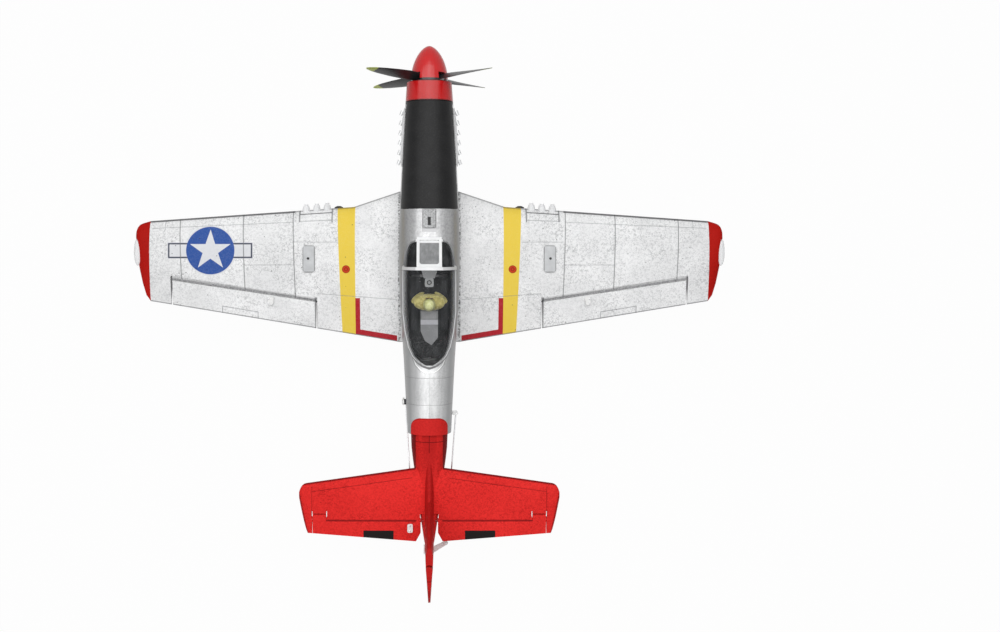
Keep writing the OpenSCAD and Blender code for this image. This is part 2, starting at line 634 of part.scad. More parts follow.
// Spindle-shaped lamp cover let into the wing tip
module lens(grow = 0) {
    translate([span / 2 - lens_r, -lens_sta, wing_z(tip_x) + 2.2]) rotate([90, 0, 0])
        rotate_extrude() polygon([for (i = [0:12]) let (a = -90 + 15 * i)
            [max(0, (lens_r + grow) * cos(a)), (lens_len / 2 + grow) * sin(a)]]);
}
module wing_tip_right() {
    color("firebrick") difference() {
        loft([for (u = [0, 0.3, 0.55, 0.75, 0.88, 0.96, 1]) cap_ring(u)]);
        lens(0.15);
    }
}
module wing_tip_left() {
    color("firebrick") left_hand() difference() {
        loft([for (u = [0, 0.3, 0.55, 0.75, 0.88, 0.96, 1]) cap_ring(u)]);
        lens(0.15);
    }
}
module nav_lenses() {
    color([0.9, 0.95, 0.95, 0.6]) both_sides() lens();
}
gun_x = 108.5;
gun_pitch = 10;
gun_nose = 4;
gun_half = 3.8;
muzzle_r = 1.9;
// Blister over the leading edge with three stub barrels a side
module gun_fairings() {
    color("whitesmoke") both_sides() difference() {
        for (i = [-1:1]) {
            x = gun_x + i * gun_pitch;
            le = wing_lead(x);
            z = wing_z(x);
            rod([x, -le + gun_nose + 1.6, z], [x, -le + gun_nose - 2, z], muzzle_r);
            loft([for (q = [[-gun_nose, 2.4], [-gun_nose + 1.2, 3], [0, 3.5], [3.5, 3.8], [7, 2.6], [10, 1]])
                [for (k = [0:9]) let (a = 90 - 36 * k)
                    [x + (gun_half - (q[0] < 0 ? 0.25 : 0.05) * abs(q[0])) * cos(a), -le - q[0],
                        (q[0] < 4 ? z : wing_high(x, le + q[0]) - 2.2) + q[1] * sin(a)]]]);
        }
        wing_solid(0.1);
    }
}
module wing_solid(grow) {
    loft([for (x = [root_half, kink_x, (kink_x + tip_x) / 2, tip_x])
        foil_ring(x, wing_lead(x) - grow, wing_trail(x) - wing_lead(x) + 2 * grow,
            wing_t(x) + 2 * grow, wing_z(x))]);
}
cover_x = 115;
cover_sta = 166;
cover_w = 11.4;
cover_l = 25.6;
// Rounded access plates let into the upper skin
module wing_covers() {
    color("lightgray") both_sides()
        translate([cover_x, -cover_sta, wing_high(cover_x, cover_sta) + 0.15])
            rotate([cover_pitch, -dihedral, 0]) difference() {
                plate(cover_w, cover_l, 0.8, 2.5);
                translate([0.5, 0.5, -1]) cylinder(h = 3, r = 0.9);
            }
}
cover_pitch = atan((wing_high(cover_x, cover_sta - 10) - wing_high(cover_x, cover_sta + 10)) / 20);

// ---- belly scoop ----
scoop_rows = [[198, 12.5, 50], [206, 14.5, 56], [222, 16.5, 61], [te_root, 17.5, 61],
    [285, 17, 53], [312, 14.5, 40], [326, 12, 30]];
function scoop_top(s, x) = s < te_root + 0.2 ? wing_low(0, s) - 0.2 : skin_low(FRONT, s, x) - 0.35;
function scoop_ring(s, inset = 0) =
    let (w = smooth(scoop_rows, s, 1) - inset, b = -smooth(scoop_rows, s, 2) + inset)
    concat([for (x = spread(-w, w, 8)) [x, -s, scoop_top(s, x) - inset]],
        [for (a = spread(-15, -165, 10)) let (o = oval(a, 0.75), z = scoop_top(s, w) - inset)
            [w * o[0] * (a < -90 ? -1 : 1), -s, z + (z - b) * o[1]]]);
module belly_scoop() {
    color("silver") difference() {
        loft([for (s = concat([198, 206, 214, 224, 236, te_root + 0.1, te_root + 0.7],
            [for (v = front_stations) if (v > te_root + 8 && v < 320) v], [326])) scoop_ring(s)]);
        // intake and outlet ducts
        loft([for (s = [197, 206, 216, 226]) [for (p = scoop_ring(max(198, s), 2.2)) [p[0], -s, p[2]]]]);
        loft([for (s = [300, 312, 327]) [for (p = scoop_ring(min(326, s), 2.2)) [p[0], -s, p[2] - 1]]]);
    }
}

// ---- tail ----
tail_te = elevator_hinge + elevator_chord;
tail_half = tail_span / 2;
balance_in = 95.5;
elevator_out = 108;
elevator_inner = 8;
elevator_corner = 12.4;
tail_corner = 9;
tail_corner_depth = 7;
tail_rake = 8;
balance_front = 4.4;
elevator_gap = 0.4;
balance_sta = elevator_hinge - balance_front - elevator_nose(balance_in) - elevator_gap;
function tail_lead(x) = tail_le + 0.141 * abs(x)
    + (abs(x) > tail_half - tail_corner
        ? tail_corner_depth * pow((abs(x) - tail_half + tail_corner) / tail_corner, 4) : 0);
function tail_trail(x) = tail_te - 0.081 * max(0, abs(x) - 15.5)
    - (abs(x) > tail_half - tail_rake ? 32 * pow((abs(x) - tail_half + tail_rake) / tail_rake, 1.3) : 0);
function tail_thick(x) = tail_t - 3 * abs(x) / tail_half
    - (abs(x) > tail_half - 6 ? 3 * pow((abs(x) - tail_half + 6) / 6, 2) : 0);
function tail_ring(x, grow = 0, cut = 1) =
    foil_ring(x, tail_lead(x) - grow, tail_trail(x) - tail_lead(x) + grow,
        tail_thick(x) + 2 * grow, tail_z, cut, 0);
function elevator_nose(x) =
    foil_half(tail_trail(x) - tail_lead(x), tail_thick(x),
        (elevator_hinge - tail_lead(x)) / (tail_trail(x) - tail_lead(x))) - 0.1;
module elevator_space() {
    a = [0, -elevator_hinge, tail_z];
    b = [elevator_out + elevator_gap, -elevator_hinge, tail_z];
    rod(a, b, elevator_nose(elevator_inner) + nose_gap, elevator_nose(elevator_out) + nose_gap);
    translate([0, 0, -20]) linear_extrude(60) polygon([[-1, -elevator_hinge], [b[0], -elevator_hinge],
        [b[0], -tail_te - 30], [-1, -tail_te - 30]]);
    translate([0, 0, -20]) linear_extrude(60) polygon([[balance_in - elevator_gap, -balance_sta],
        [b[0], -balance_sta], [b[0], -tail_te - 30],
        [balance_in - elevator_gap, -tail_te - 30]]);
    // open ends of the slits beside the horn balance
    for (x = [balance_in - tick_w, elevator_out])
        translate([x, -balance_sta - 3, -20]) cube([tick_w, 6, 60]);
    // room for the tail cone behind the slot
    translate([-1, -tail_te - 30, -20])
        cube([elevator_inner + 1.6, tail_te + 30 - slot_end, 60]);
    rod([elevator_out - 3, -elevator_hinge, tail_z], [elevator_out + 5, -elevator_hinge, tail_z],
        hinge_pin_r + pin_fit);
}
slot_end = elevator_hinge - 7;
tip_steps = [0, 0.3, 0.9, 1.8, 3, 4.6, 6.4, 8, 9];
module tailplane() {
    color("red") difference() {
        loft([for (x = concat([for (d = tip_steps) d - tail_half], [0],
            [for (i = [len(tip_steps) - 1:-1:0]) tail_half - tip_steps[i]])) tail_ring(x)]);
        both_sides() elevator_space();
    }
}
// Round-nosed wedge between rings of [x, y of the hinge, nose radius, trailing station]
module elevator_half() {
    function ring(x, te, front, r) =
        concat([[x, -te, tail_z + edge_t]],
            [for (a = [0:30:180]) [x, -elevator_hinge + front + r * sin(a), tail_z + r * cos(a)]],
            [[x, -te, tail_z - edge_t]]);
    r_in = elevator_nose(elevator_inner);
    r_mid = elevator_nose(balance_in);
    r_out = elevator_nose(elevator_out);
    te_in = tail_te - 8;
    difference() {
        union() {
            loft([ring(elevator_inner, te_in, 0, r_in),
                ring(elevator_corner, tail_te, 0, elevator_nose(elevator_corner)),
                ring(balance_in, tail_trail(balance_in), 0, r_mid),
                ring(balance_in + 0.01, tail_trail(balance_in), balance_front, r_mid),
                ring(elevator_out, tail_trail(elevator_out), balance_front, r_out)]);
            rod([elevator_out - 2, -elevator_hinge, tail_z],
                [elevator_out + 4.2, -elevator_hinge, tail_z], hinge_pin_r);
        }
        rod([0, -elevator_hinge, tail_z], [joiner_half, -elevator_hinge, tail_z], joiner_r);
    }
}
joiner_r = 1.2;
joiner_half = 20;
tick_w = 1;
module elevator_right() {
    color("red") elevator_half();
}
module elevator_left() {
    color("red") left_hand() difference() {
        elevator_half();
        elevator_horn_frame() horn_slot();
    }
}
module elevator_joiner() {
    color("silver") rod([-joiner_half + 0.2, -elevator_hinge, tail_z],
        [joiner_half - 0.2, -elevator_hinge, tail_z], joiner_r);
}
function fin_lead(z) = lookup(z, [[8, 330], [16.5, 343], [21, 368], [27, 386], [fin_h, 414]]);
function fin_half(z) = lookup(z, [[10, fin_t / 2], [fin_h, fin_tip_t / 2]]);
function fin_ring(z) =
    let (le = fin_lead(z), c = rudder_hinge - le, w = fin_half(z))
    concat([for (u = [0, 0.02, 0.06, 0.14, 0.26, 0.45]) [w * pow(min(1, u / 0.45), 0.42), -le - c * u, z]],
        [[w, -rudder_hinge, z], [0, -rudder_hinge, z]]);
function rudder_nose(z) = lookup(z, [[rudder_foot, post_w / 2 - 0.3], [20, fin_t / 2 - 0.2],
    [fin_h, fin_tip_t / 2 - 0.1]]);
hinge_heights = [20, fin_h - 14];
hinge_plate_t = 2.4;
rudder_edge_t = 2;
module tail_half_solid() {
    difference() {
        union() {
            intersection() {
                loft([for (s = concat([TAIL[0][0]], spread(join_sta - 8, post_sta, 10)))
                    [for (i = [0:29]) let (a = 90 - 12 * i, q = skin(TAIL, s, a > -90 ? a : -180 - a))
                        [a > -90 ? q[0] : -q[0], q[1], q[2]]]]);
                translate([0, -500, -100]) cube([100, 500, 200]);
            }
            loft([for (z = [8, 13, 16.5, 18.5, 21, 24, 27, 45, 62, fin_h - 2]) fin_ring(z)]);
        }
        // cove for the rudder's nose
        rod([0, -rudder_hinge, rudder_foot - 20], [0, -rudder_hinge, 20],
            post_w / 2 + nose_gap + 0.2, fin_t / 2 + nose_gap);
        rod([0, -rudder_hinge, 19.9], [0, -rudder_hinge, fin_h + 1],
            fin_t / 2 + nose_gap, fin_tip_t / 2 + nose_gap + 0.1);
        // tailplane slot
        loft([for (x = [-tail_half + 20, 0, tail_half - 20])
            tail_ring(x, 0.1, (slot_end + 0.3 - tail_lead(x)) / (tail_trail(x) - tail_lead(x)))]);
        // bay for the two tail servos in the spigot
        translate([-1, -join_sta - 1, shelf_low - 2]) cube([40, 60, 6 - shelf_low]);
        // elevator joiner and the room its halves turn in
        rod([-1, -elevator_hinge, tail_z], [30, -elevator_hinge, tail_z], joiner_r + pin_fit);
        for (z = hinge_heights) translate([0, -rudder_hinge + 6, z])
            cube([8, 9, hinge_plate_t + 0.2], center = true);
        // tail wheel's swivel
        translate([0, -fork_sta, -30]) cylinder(h = 36, r = fork_post_r + pin_fit);
    }
}
module tail_right() {
    color("red") tail_half_solid();
}
module tail_left() {
    color("red") left_hand() tail_half_solid();
}
// Hinge leaves set into the fin post, with eyes on the rudder's axis
module rudder_hinges() {
    color("white") for (z = hinge_heights) difference() {
        union() {
            translate([0, -rudder_hinge + 5, z]) cube([2.4, 10, hinge_plate_t], center = true);
            translate([0, -rudder_hinge, z]) cylinder(h = hinge_plate_t, r = 1.9, center = true);
        }
        translate([0, -rudder_hinge, z]) cylinder(h = 5, r = hinge_pin_r + pin_fit, center = true);
    }
}
module rudder() {
    color("red") difference() {
        union() {
            difference() {
                loft([for (q = RUDDER_EDGE) let (z = q[0], r = rudder_nose(z), te = rudder_te - q[1])
                    concat([[rudder_edge_t / 2, -te, z], [-rudder_edge_t / 2, -te, z]],
                        [for (a = [-90:30:90]) [r * sin(a), -rudder_hinge + r * cos(a), z]])]);
                for (z = hinge_heights) translate([0, -rudder_hinge + 2.4, z])
                    cube([12, 9.6, hinge_plate_t + 0.8], center = true);
            }
            for (z = hinge_heights) translate([0, -rudder_hinge, z])
                cylinder(h = 8, r = hinge_pin_r, center = true);
        }
        rudder_frame(0) horn_slot();
    }
}

// ---- controls ----
// Local axes of a linkage: x along the turning axis, y forward, arm and horn hang along -z
aileron_axis = hinge_point(aileron_out) - hinge_point(aileron_in);
module aileron_frame(ahead) {
    translate(hinge_point(aileron_servo_x))
        rotate([0, -asin(aileron_axis[2] / norm(aileron_axis)), atan2(aileron_axis[1], aileron_axis[0])])
            translate([0, ahead, 0]) children();
}
elevator_servo_sta = 300;
elevator_servo_z = -2;
elevator_arm_x = body_w / 2 - 4.8;
elevator_horn_x = 17;
rudder_servo_sta = 310;
rudder_servo_x = 9.5;
rudder_horn_r = 15.5;
rod_z = -1;
outlet_r = 3;
arm_t = 1.5;
module elevator_servo_frame() {
    translate([elevator_arm_x, -elevator_servo_sta, elevator_servo_z]) children();
}
module elevator_horn_frame() {
    translate([elevator_horn_x, -elevator_hinge, tail_z]) children();
}
module rudder_frame(servo = 1) {
    translate([servo * rudder_servo_x, servo * (rudder_hinge - rudder_servo_sta) - rudder_hinge, rod_z])
        rotate([0, -90, 0]) children();
}
shaft_out_r = 1.4;
// Arm on a servo's shaft: tapered blade between the boss and the rod's eye
module servo_arm(r) {
    color("white") rotate([90, 0, 90]) difference() {
        union() {
            cylinder(h = arm_t, r = 2.8);
            translate([0, -r, 0]) cylinder(h = arm_t, r = 1.9);
            linear_extrude(arm_t) polygon([[-1.7, -r], [1.7, -r], [2.5, -0.5], [-2.5, -0.5]]);
        }
        translate([0, 0, -1]) cylinder(h = arm_t + 2, r = shaft_out_r + pin_fit);
        translate([0, -r, -1]) cylinder(h = arm_t + 2, r = rod_r + pin_fit);
    }
}
// Horn whose stem passes through the surface, with a plate screwed on the far side
module horn(r, top) {
    color("white") {
        rotate([90, 0, 90]) difference() {
            union() {
                translate([0, -r, 0]) cylinder(h = arm_t, r = 1.9);
                linear_extrude(arm_t)
                    polygon([[1.5, -r + 1], [-3.5, -4], [-3.5, top + 0.4], [-9, top + 0.4], [-9, -4.2],
                        [-1.2, -r - 1.3]]);
            }
            translate([0, -r, -1]) cylinder(h = arm_t + 2, r = rod_r + pin_fit);
        }
        translate([arm_t / 2, -6.2, top]) plate(5, 8, 0.9, 1.4);
    }
}
module horn_slot() {
    translate([-0.1, -9.1, -12]) cube([arm_t + 0.2, 5.7, 24]);
}
// Bent wire from the arm's eye to the horn's; offset is from the arm's origin to the horn's
module pushrod(r, offset, side) {
    a = [side > 0 ? -0.8 : arm_t + 0.8, 0, -r];
    b = [side > 0 ? arm_t + 1.1 : -1.1, 0, -r];
    color("silver") wire([a, b, b + offset, a + offset], rod_r);
}
servo_h = 13;
// Case, ears and output of a servo, its shaft along x and its arm at x = 0
module servo(reach) {
    color("royalblue") {
        translate([-reach - servo_h, -servo_len + 5.5, -servo_w / 2]) cube([servo_h, servo_len, servo_w]);
        translate([-reach - 4.5, -servo_len + 2.5, -servo_w / 2 + 0.5])
            cube([1.2, servo_len + 6, servo_w - 1]);
        translate([-reach - 0.1, 0, 0]) rotate([0, 90, 0]) cylinder(h = reach - 0.1, r = outlet_r - 0.4);
        translate([-0.5, 0, 0]) rotate([0, 90, 0]) cylinder(h = arm_t + 0.8, r = shaft_out_r);
    }
}
// Recess for a servo let into the wing from below, and the slot its arm swings in
module servo_pocket() {
    translate([-1 - servo_h - 0.1, -servo_len + 2.3, -30])
        cube([servo_h + 0.2, servo_len + 6.4, 30 + servo_w / 2 + 0.1]);
    translate([-1.2, -8.5, -30]) cube([4.6, 17, 34]);
}
shelf_low = rod_z - 1 - servo_h;
module servos() {
    reach = skin(FRONT, rudder_servo_sta, -58, foam_wall)[0];
    color("royalblue") translate([-reach, -rudder_servo_sta - servo_len + 4, shelf_low - 1.2])
        cube([2 * reach, servo_len + 4, 1.3]);
    both_sides() aileron_frame(aileron_servo_gap) servo(1);
    left_hand() elevator_servo_frame() servo(elevator_arm_x - (boom_w / 2 - foam_wall - 0.4));
    rudder_frame() servo(1);
}
module aileron_body() {
    function ring(x, r) =
        let (h = hinge_point(x), te = wing_trail(x), z = wing_z(x))
        concat([[x, -te, z + edge_t]],
            [for (a = [0:30:180]) h + [0, r * sin(a), r * cos(a)]], [[x, -te, z - edge_t]]);
    difference() {
        union() {
            loft([ring(aileron_in, nose_in), ring(aileron_out, nose_out)]);
            rod(hinge_point(aileron_in - 5), hinge_point(aileron_in + 3), hinge_pin_r);
            rod(hinge_point(aileron_out - 3), hinge_point(aileron_out + 5), hinge_pin_r);
        }
        aileron_frame(0) horn_slot();
    }
}
module aileron_right() {
    color("whitesmoke") aileron_body();
}
module aileron_left() {
    color("whitesmoke") left_hand() aileron_body();
}
module aileron_horn_right() aileron_frame(0) horn(horn_r, nose_at(aileron_servo_x) + 0.2);
module aileron_horn_left() left_hand() aileron_horn_right();
module elevator_horn() left_hand() elevator_horn_frame() horn(horn_r, elevator_nose(elevator_horn_x) + 0.1);
module rudder_horn() rudder_frame(0) horn(rudder_horn_r, rudder_nose(rod_z) + 0.1);
module aileron_arm_right() aileron_frame(aileron_servo_gap) servo_arm(horn_r);
module aileron_arm_left() left_hand() aileron_arm_right();
module elevator_arm() left_hand() elevator_servo_frame() servo_arm(horn_r);
module rudder_arm() rudder_frame() servo_arm(rudder_horn_r);
module aileron_rod_right() {
    aileron_frame(aileron_servo_gap) pushrod(horn_r, [0, -aileron_servo_gap, 0], 1);
}
module aileron_rod_left() left_hand() aileron_rod_right();
module elevator_rod() {
    left_hand() elevator_servo_frame() pushrod(horn_r, [elevator_horn_x - elevator_arm_x,
        elevator_servo_sta - elevator_hinge, tail_z - elevator_servo_z], -1);
}
module rudder_rod() {
    rudder_frame() pushrod(rudder_horn_r, [0, rudder_servo_sta - rudder_hinge, rudder_servo_x], -1);
}

// ---- motor and propeller ----
prop_sta = -3.5;
rotor_sta = 7;
mount_sta = rotor_sta + motor_len + 5;
mount_t = 3;
// Turned part about the thrust line: profile points are [station, radius]
module turned(profile) {
    rotate([90, 0, 0]) rotate_extrude() polygon([for (p = profile) [p[1], p[0]]]);
}
module spinner() {
    shorter = 1 - 1.6 * spinner_wall / spinner_len;
    inner = [for (p = spinner_curve) [p[0] * shorter, max(0, p[1] - spinner_wall)]];
    color("red") difference() {
        turned(concat(spinner_curve, [for (i = [12:-1:0]) inner[i]]));
        for (q = [45:90:315]) rotate([0, q, 0]) translate([0, -prop_sta, 0])
            translate([0, 0, spinner_r - 2]) cube([9, 8, 14], center = true);
    }
}
module spinner_backplate() {
    color("black") turned([[0.05, shaft_r], [0.05, spinner_r], [1, spinner_r], [1, shaft_r]]);
}
// Blade rows: radius, chord, pitch angle in degrees, thickness
BLADE = [[4, 0.55, 52, 3.2], [10, 0.6, 46, 2.6], [18, 0.8, 38, 2], [30, 0.98, 30, 1.7],
    [45, 1, 23, 1.4], [60, 0.85, 19, 1.1], [70, 0.62, 17, 0.9], [76, 0.34, 16, 0.7], [78, 0.12, 16, 0.6]];
function blade_ring(q) =
    let (c = q[1] * blade_chord, p = q[2], r = q[0] * prop_r / 78)
    [for (k = [0:11]) let (a = 30 * k, u = -c / 2 * cos(a), v = q[3] / 2 * sin(a))
        [u * cos(p) - v * sin(p), u * sin(p) + v * cos(p), r]];
module propeller() {
    color("black") difference() {
        union() {
            translate([0, -prop_sta, 0]) {
                rotate([90, 0, 0]) cylinder(h = 7, r = prop_hub_r, center = true);
                for (q = [45:90:315]) rotate([0, q, 0]) loft([for (b = BLADE) blade_ring(b)]);
            }
        }
        rotate([90, 0, 0]) cylinder(h = 40, r = shaft_r, center = true);
    }
}
// Turning can of the motor with its shaft and the propeller's nut
module motor_rotor() {
    w = 1;
    color("dimgray") {
        turned([[prop_sta - 7, 0], [prop_sta - 7, shaft_r], [rotor_sta, shaft_r], [rotor_sta, motor_r],
            [rotor_sta + motor_len, motor_r], [rotor_sta + motor_len, motor_r - w],
            [rotor_sta + 2, motor_r - w], [rotor_sta + 2, 0]]);
        translate([0, 6 - prop_sta, 0]) rotate([90, 0, 0]) cylinder(h = 2.4, r = 3.2, $fn = 6);
    }
}
module motor_stator() {
    s = rotor_sta + 2.5;
    color("orange") {
        turned([[s, 0], [s, 3], [mount_sta - 3, 3], [mount_sta - 3, motor_r], [mount_sta - 0.1, motor_r],
            [mount_sta - 0.1, 0]]);
        for (q = [0:40:320]) rotate([0, q, 0]) translate([-0.9, -s - motor_len + 4, 2.5])
            cube([1.8, motor_len - 5, motor_r - 4.2]);
    }
}
// Firewall with the shelf that carries the battery and the flight board
shelf_t = 1.2;
shelf_w = 25;
shelf_end = wing_le + 62;
shelf_z = -wing_drop + root_t / 2 + 3.4;
module motor_mount() {
    color("white") translate([-shelf_w / 2, -shelf_end, shelf_z])
        cube([shelf_w, shelf_end - mount_sta - 1, shelf_t]);
    color("white") difference() {
        loft([for (v = [mount_sta, mount_sta + mount_t]) [for (i = [0:29]) let (a = 90 - 12 * i,
            q = skin(FRONT, v, a > -90 ? a : -180 - a, v < hatch_sta ? 1.7 : foam_wall + 0.4))
                [a > -90 ? q[0] : -q[0], q[1], min(q[2], hatch_z - 0.3)]]]);
        for (q = [-30, 30, 150, 210]) rotate([0, q, 0]) translate([0, -mount_sta + 1, motor_r - 3])
            rotate([90, 0, 0]) cylinder(h = 6, r = 1);
    }
}

// ---- power and radio ----
battery_l = 52;
battery_w = 26;
battery_h = 15;
shelf_top = shelf_z + shelf_t + 0.1;
battery_sta = hatch_sta + 26 + battery_l / 2;
module battery() {
    color("gold") translate([0, -battery_sta, shelf_top]) plate(battery_w, battery_l, battery_h, 2);
}
// Receiver, gyro and speed controller on one board
module flight_board() {
    color("seagreen") translate([0, -battery_sta - battery_l / 2 - 20, shelf_top]) {
        plate(24, 32, 1.6, 1);
        translate([0, 6, 1.5]) plate(10, 10, 1.5, 0.5);
        translate([0, -8, 1.5]) plate(14, 8, 4, 0.5);
    }
}

// ---- undercarriage ----
gear_x = track_half + wheel_w / 2 + 3.5;
gear_block_sta = axle_sta + 2;
gear_block_w = 12;
gear_block_l = 16;
strut_r = 2.2;
// Cranked leg, its door and the stub axle, with the block that lets into the wing
module gear_legs() {
    low = wing_low(gear_x, gear_block_sta);
    color("silver") both_sides() difference() {
        union() {
            translate([gear_x, -gear_block_sta, low + 2.4])
                cube([gear_block_w, gear_block_l, 5.8], center = true);
            rod([gear_x, -axle_sta, low + 1], [gear_x, -axle_sta, -axle_d + 16], strut_r);
            rod([gear_x, -axle_sta, -axle_d + 18], [gear_x, -axle_sta, -axle_d], strut_r * 0.72);
            translate([gear_x, -axle_sta, -axle_d]) rotate([0, 90, 0])
                cylinder(h = 2 * strut_r, r = strut_r, center = true);
            rod([gear_x, -axle_sta, -axle_d], [track_half - wheel_w / 2 - 1.6, -axle_sta, -axle_d], axle_r);
            rod([track_half - wheel_w / 2 - 0.6, -axle_sta, -axle_d],
                [track_half - wheel_w / 2 - 2, -axle_sta, -axle_d], axle_r + 0.9);
            translate([gear_x + strut_r - 0.3, -axle_sta - 8, -axle_d + 14])
                cube([1.2, 16, low + axle_d - 14.4]);
        }
        translate([gear_x, -gear_block_sta - 6, low - 1]) cylinder(h = 8, r = 0.8);
        translate([gear_x, -gear_block_sta + 6, low - 1]) cylinder(h = 8, r = 0.8);
    }
}
hub_r = 0.55 * wheel_r;
module on_main_axle() {
    translate([track_half, -axle_sta, -axle_d]) rotate([0, 90, 0]) children();
}
module tyre() {
    color([0.12, 0.12, 0.12]) rotate_extrude() {
        w = wheel_w / 2;
        polygon([[hub_r, -w * 0.7], [wheel_r * 0.84, -w], [wheel_r * 0.94, -w * 0.8], [wheel_r, -w * 0.35],
            [wheel_r, w * 0.35], [wheel_r * 0.94, w * 0.8], [wheel_r * 0.84, w], [hub_r, w * 0.7]]);
    }
}
module hub() {
    w = wheel_w / 2;
    color("silver") difference() {
        union() {
            rotate_extrude()
                polygon([[hub_r - 2, -w * 0.7], [hub_r, -w * 0.7], [hub_r, w * 0.7], [hub_r - 2, w * 0.7]]);
            cylinder(h = 1.8, r = hub_r - 0.5, center = true);
            cylinder(h = wheel_w - 0.6, r = axle_r + 1.6, center = true);
        }
        cylinder(h = wheel_w + 2, r = axle_r + pin_fit, center = true);
        for (q = [0:60:300]) rotate(q) translate([hub_r * 0.6, 0, 0])
            cylinder(h = 4, r = 1.1, center = true);
    }
}
module tyre_right() on_main_axle() tyre();
module tyre_left() left_hand() tyre_right();
module wheel_right() on_main_axle() hub();
module wheel_left() left_hand() wheel_right();
fork_sta = tail_axle_sta - 6;
fork_post_r = 1.6;
tail_wheel_w = 4;
fork_gap = 0.4;
// Swivelling fork of the tail wheel, its post running in the tail
module tail_fork() {
    under = skin_low(TAIL, fork_sta, 0);
    y = -tail_axle_sta;
    arm = tail_wheel_w / 2 + fork_gap;
    color("silver") {
        translate([0, -fork_sta, under - 1.4]) cylinder(h = 16, r = fork_post_r);
        translate([0, -fork_sta, under - 2.6]) cylinder(h = 2, r = 3.4);
        rod([0, -fork_sta, under - 2], [0, y + 1.5, -tail_axle_d + tail_wheel_r + 4], 1.9, 1.6);
        translate([0, y + 1, -tail_axle_d + tail_wheel_r + 2.6])
            cube([2 * arm + 4.6, 5, 3.2], center = true);
        both_sides() {
            rod([arm + 1.1, y + 1, -tail_axle_d + tail_wheel_r + 2], [arm + 1.1, y, -tail_axle_d], 1);
            translate([arm, y, -tail_axle_d]) rotate([0, 90, 0]) cylinder(h = 1.6, r = 2);
        }
        rod([-arm - 1, y, -tail_axle_d], [arm + 1, y, -tail_axle_d], 0.8);
    }
}
module tail_wheel() {
    w = tail_wheel_w / 2;
    r = tail_wheel_r;
    color([0.12, 0.12, 0.12]) translate([0, -tail_axle_sta, -tail_axle_d]) rotate([0, 90, 0])
        rotate_extrude() polygon([[0.8 + pin_fit, -w], [r * 0.5, -w], [r * 0.85, -w * 0.9], [r, -w * 0.4],
            [r, w * 0.4], [r * 0.85, w * 0.9], [r * 0.5, w], [0.8 + pin_fit, w]]);
}

stance() fuselage_left();
stance() fuselage_right();
stance() tail_left();
stance() tail_right();
stance() cowl_ring();
stance() motor_mount();
stance() motor_stator();
stance() motor_rotor();
stance() propeller();
stance() spinner();
stance() spinner_backplate();
stance() battery_hatch();
stance() hatch_latch();
stance() exhaust_stacks();
stance() windshield_frame();
stance() canopy_glass();
stance() canopy_frame();
stance() cockpit_tray();
stance() instrument_panel();
stance() pilot();
stance() radio_box();
stance() wing_left();
stance() wing_right();
stance() wing_spar();
stance() wing_tip_left();
stance() wing_tip_right();
stance() nav_lenses();
stance() gun_fairings();
stance() wing_covers();
stance() belly_scoop();
stance() tailplane();
stance() aileron_left();
stance() aileron_right();
stance() elevator_left();
stance() elevator_right();
stance() elevator_joiner();
stance() rudder();
stance() aileron_horn_left();
stance() aileron_horn_right();
stance() elevator_horn();
stance() rudder_horn();
stance() aileron_arm_left();
stance() aileron_arm_right();
stance() elevator_arm();
stance() rudder_arm();
stance() aileron_rod_left();
stance() aileron_rod_right();
stance() elevator_rod();
stance() rudder_rod();
stance() servos();
stance() battery();
stance() flight_board();
stance() gear_legs();
stance() tyre_left();
stance() tyre_right();
stance() wheel_left();
stance() wheel_right();
stance() tail_fork();
stance() tail_wheel();
stance() rudder_hinges();
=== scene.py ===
import json
import math
import bmesh
import bpy
from mathutils import Matrix, Vector


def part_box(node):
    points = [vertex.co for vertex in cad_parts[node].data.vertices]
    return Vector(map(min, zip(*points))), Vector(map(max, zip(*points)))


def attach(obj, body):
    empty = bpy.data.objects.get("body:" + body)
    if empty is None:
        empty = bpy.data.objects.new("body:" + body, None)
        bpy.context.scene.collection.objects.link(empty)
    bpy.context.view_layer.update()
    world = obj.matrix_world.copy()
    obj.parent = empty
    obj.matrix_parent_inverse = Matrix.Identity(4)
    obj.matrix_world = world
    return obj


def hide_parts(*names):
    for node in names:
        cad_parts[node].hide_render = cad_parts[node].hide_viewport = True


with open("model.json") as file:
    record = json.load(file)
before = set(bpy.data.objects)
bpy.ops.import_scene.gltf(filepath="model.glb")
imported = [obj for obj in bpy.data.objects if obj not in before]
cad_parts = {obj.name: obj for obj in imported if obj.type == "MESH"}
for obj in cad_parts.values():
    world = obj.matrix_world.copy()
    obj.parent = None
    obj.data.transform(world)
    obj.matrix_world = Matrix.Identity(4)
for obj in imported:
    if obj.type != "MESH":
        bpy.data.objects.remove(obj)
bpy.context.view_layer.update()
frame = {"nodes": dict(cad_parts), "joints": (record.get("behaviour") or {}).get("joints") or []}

NODES = frame["nodes"]
JOINTS = {j["name"]: j for j in frame["joints"]}

# ---- the aeroplane's own axes, taken from the propeller's joint ----
# x to the right wing, stations aft from the spinner's rear face, z up from the thrust line, in mm
NOSE = Vector(JOINTS["prop_spin"]["axis"]).normalized()
RIGHT = Vector((1, 0, 0))
UP = RIGHT.cross(NOSE)
DATUM = Vector(JOINTS["prop_spin"]["pos_m"]) - NOSE * 0.0035
TILT = math.atan2(NOSE.z, NOSE.y)


def at(x, sta, z):
    return DATUM + (RIGHT * x - NOSE * sta + UP * z) / 1000


def local(v):
    d = Vector(v) - DATUM
    return d.dot(RIGHT) * 1000, -d.dot(NOSE) * 1000, d.dot(UP) * 1000


# ---- shader building ----
SOCKETS = {"color": "Base Color", "rough": "Roughness", "metal": "Metallic", "alpha": "Alpha",
           "spec": "Specular IOR Level", "coat": "Coat Weight", "coat_rough": "Coat Roughness",
           "sheen": "Sheen Weight"}


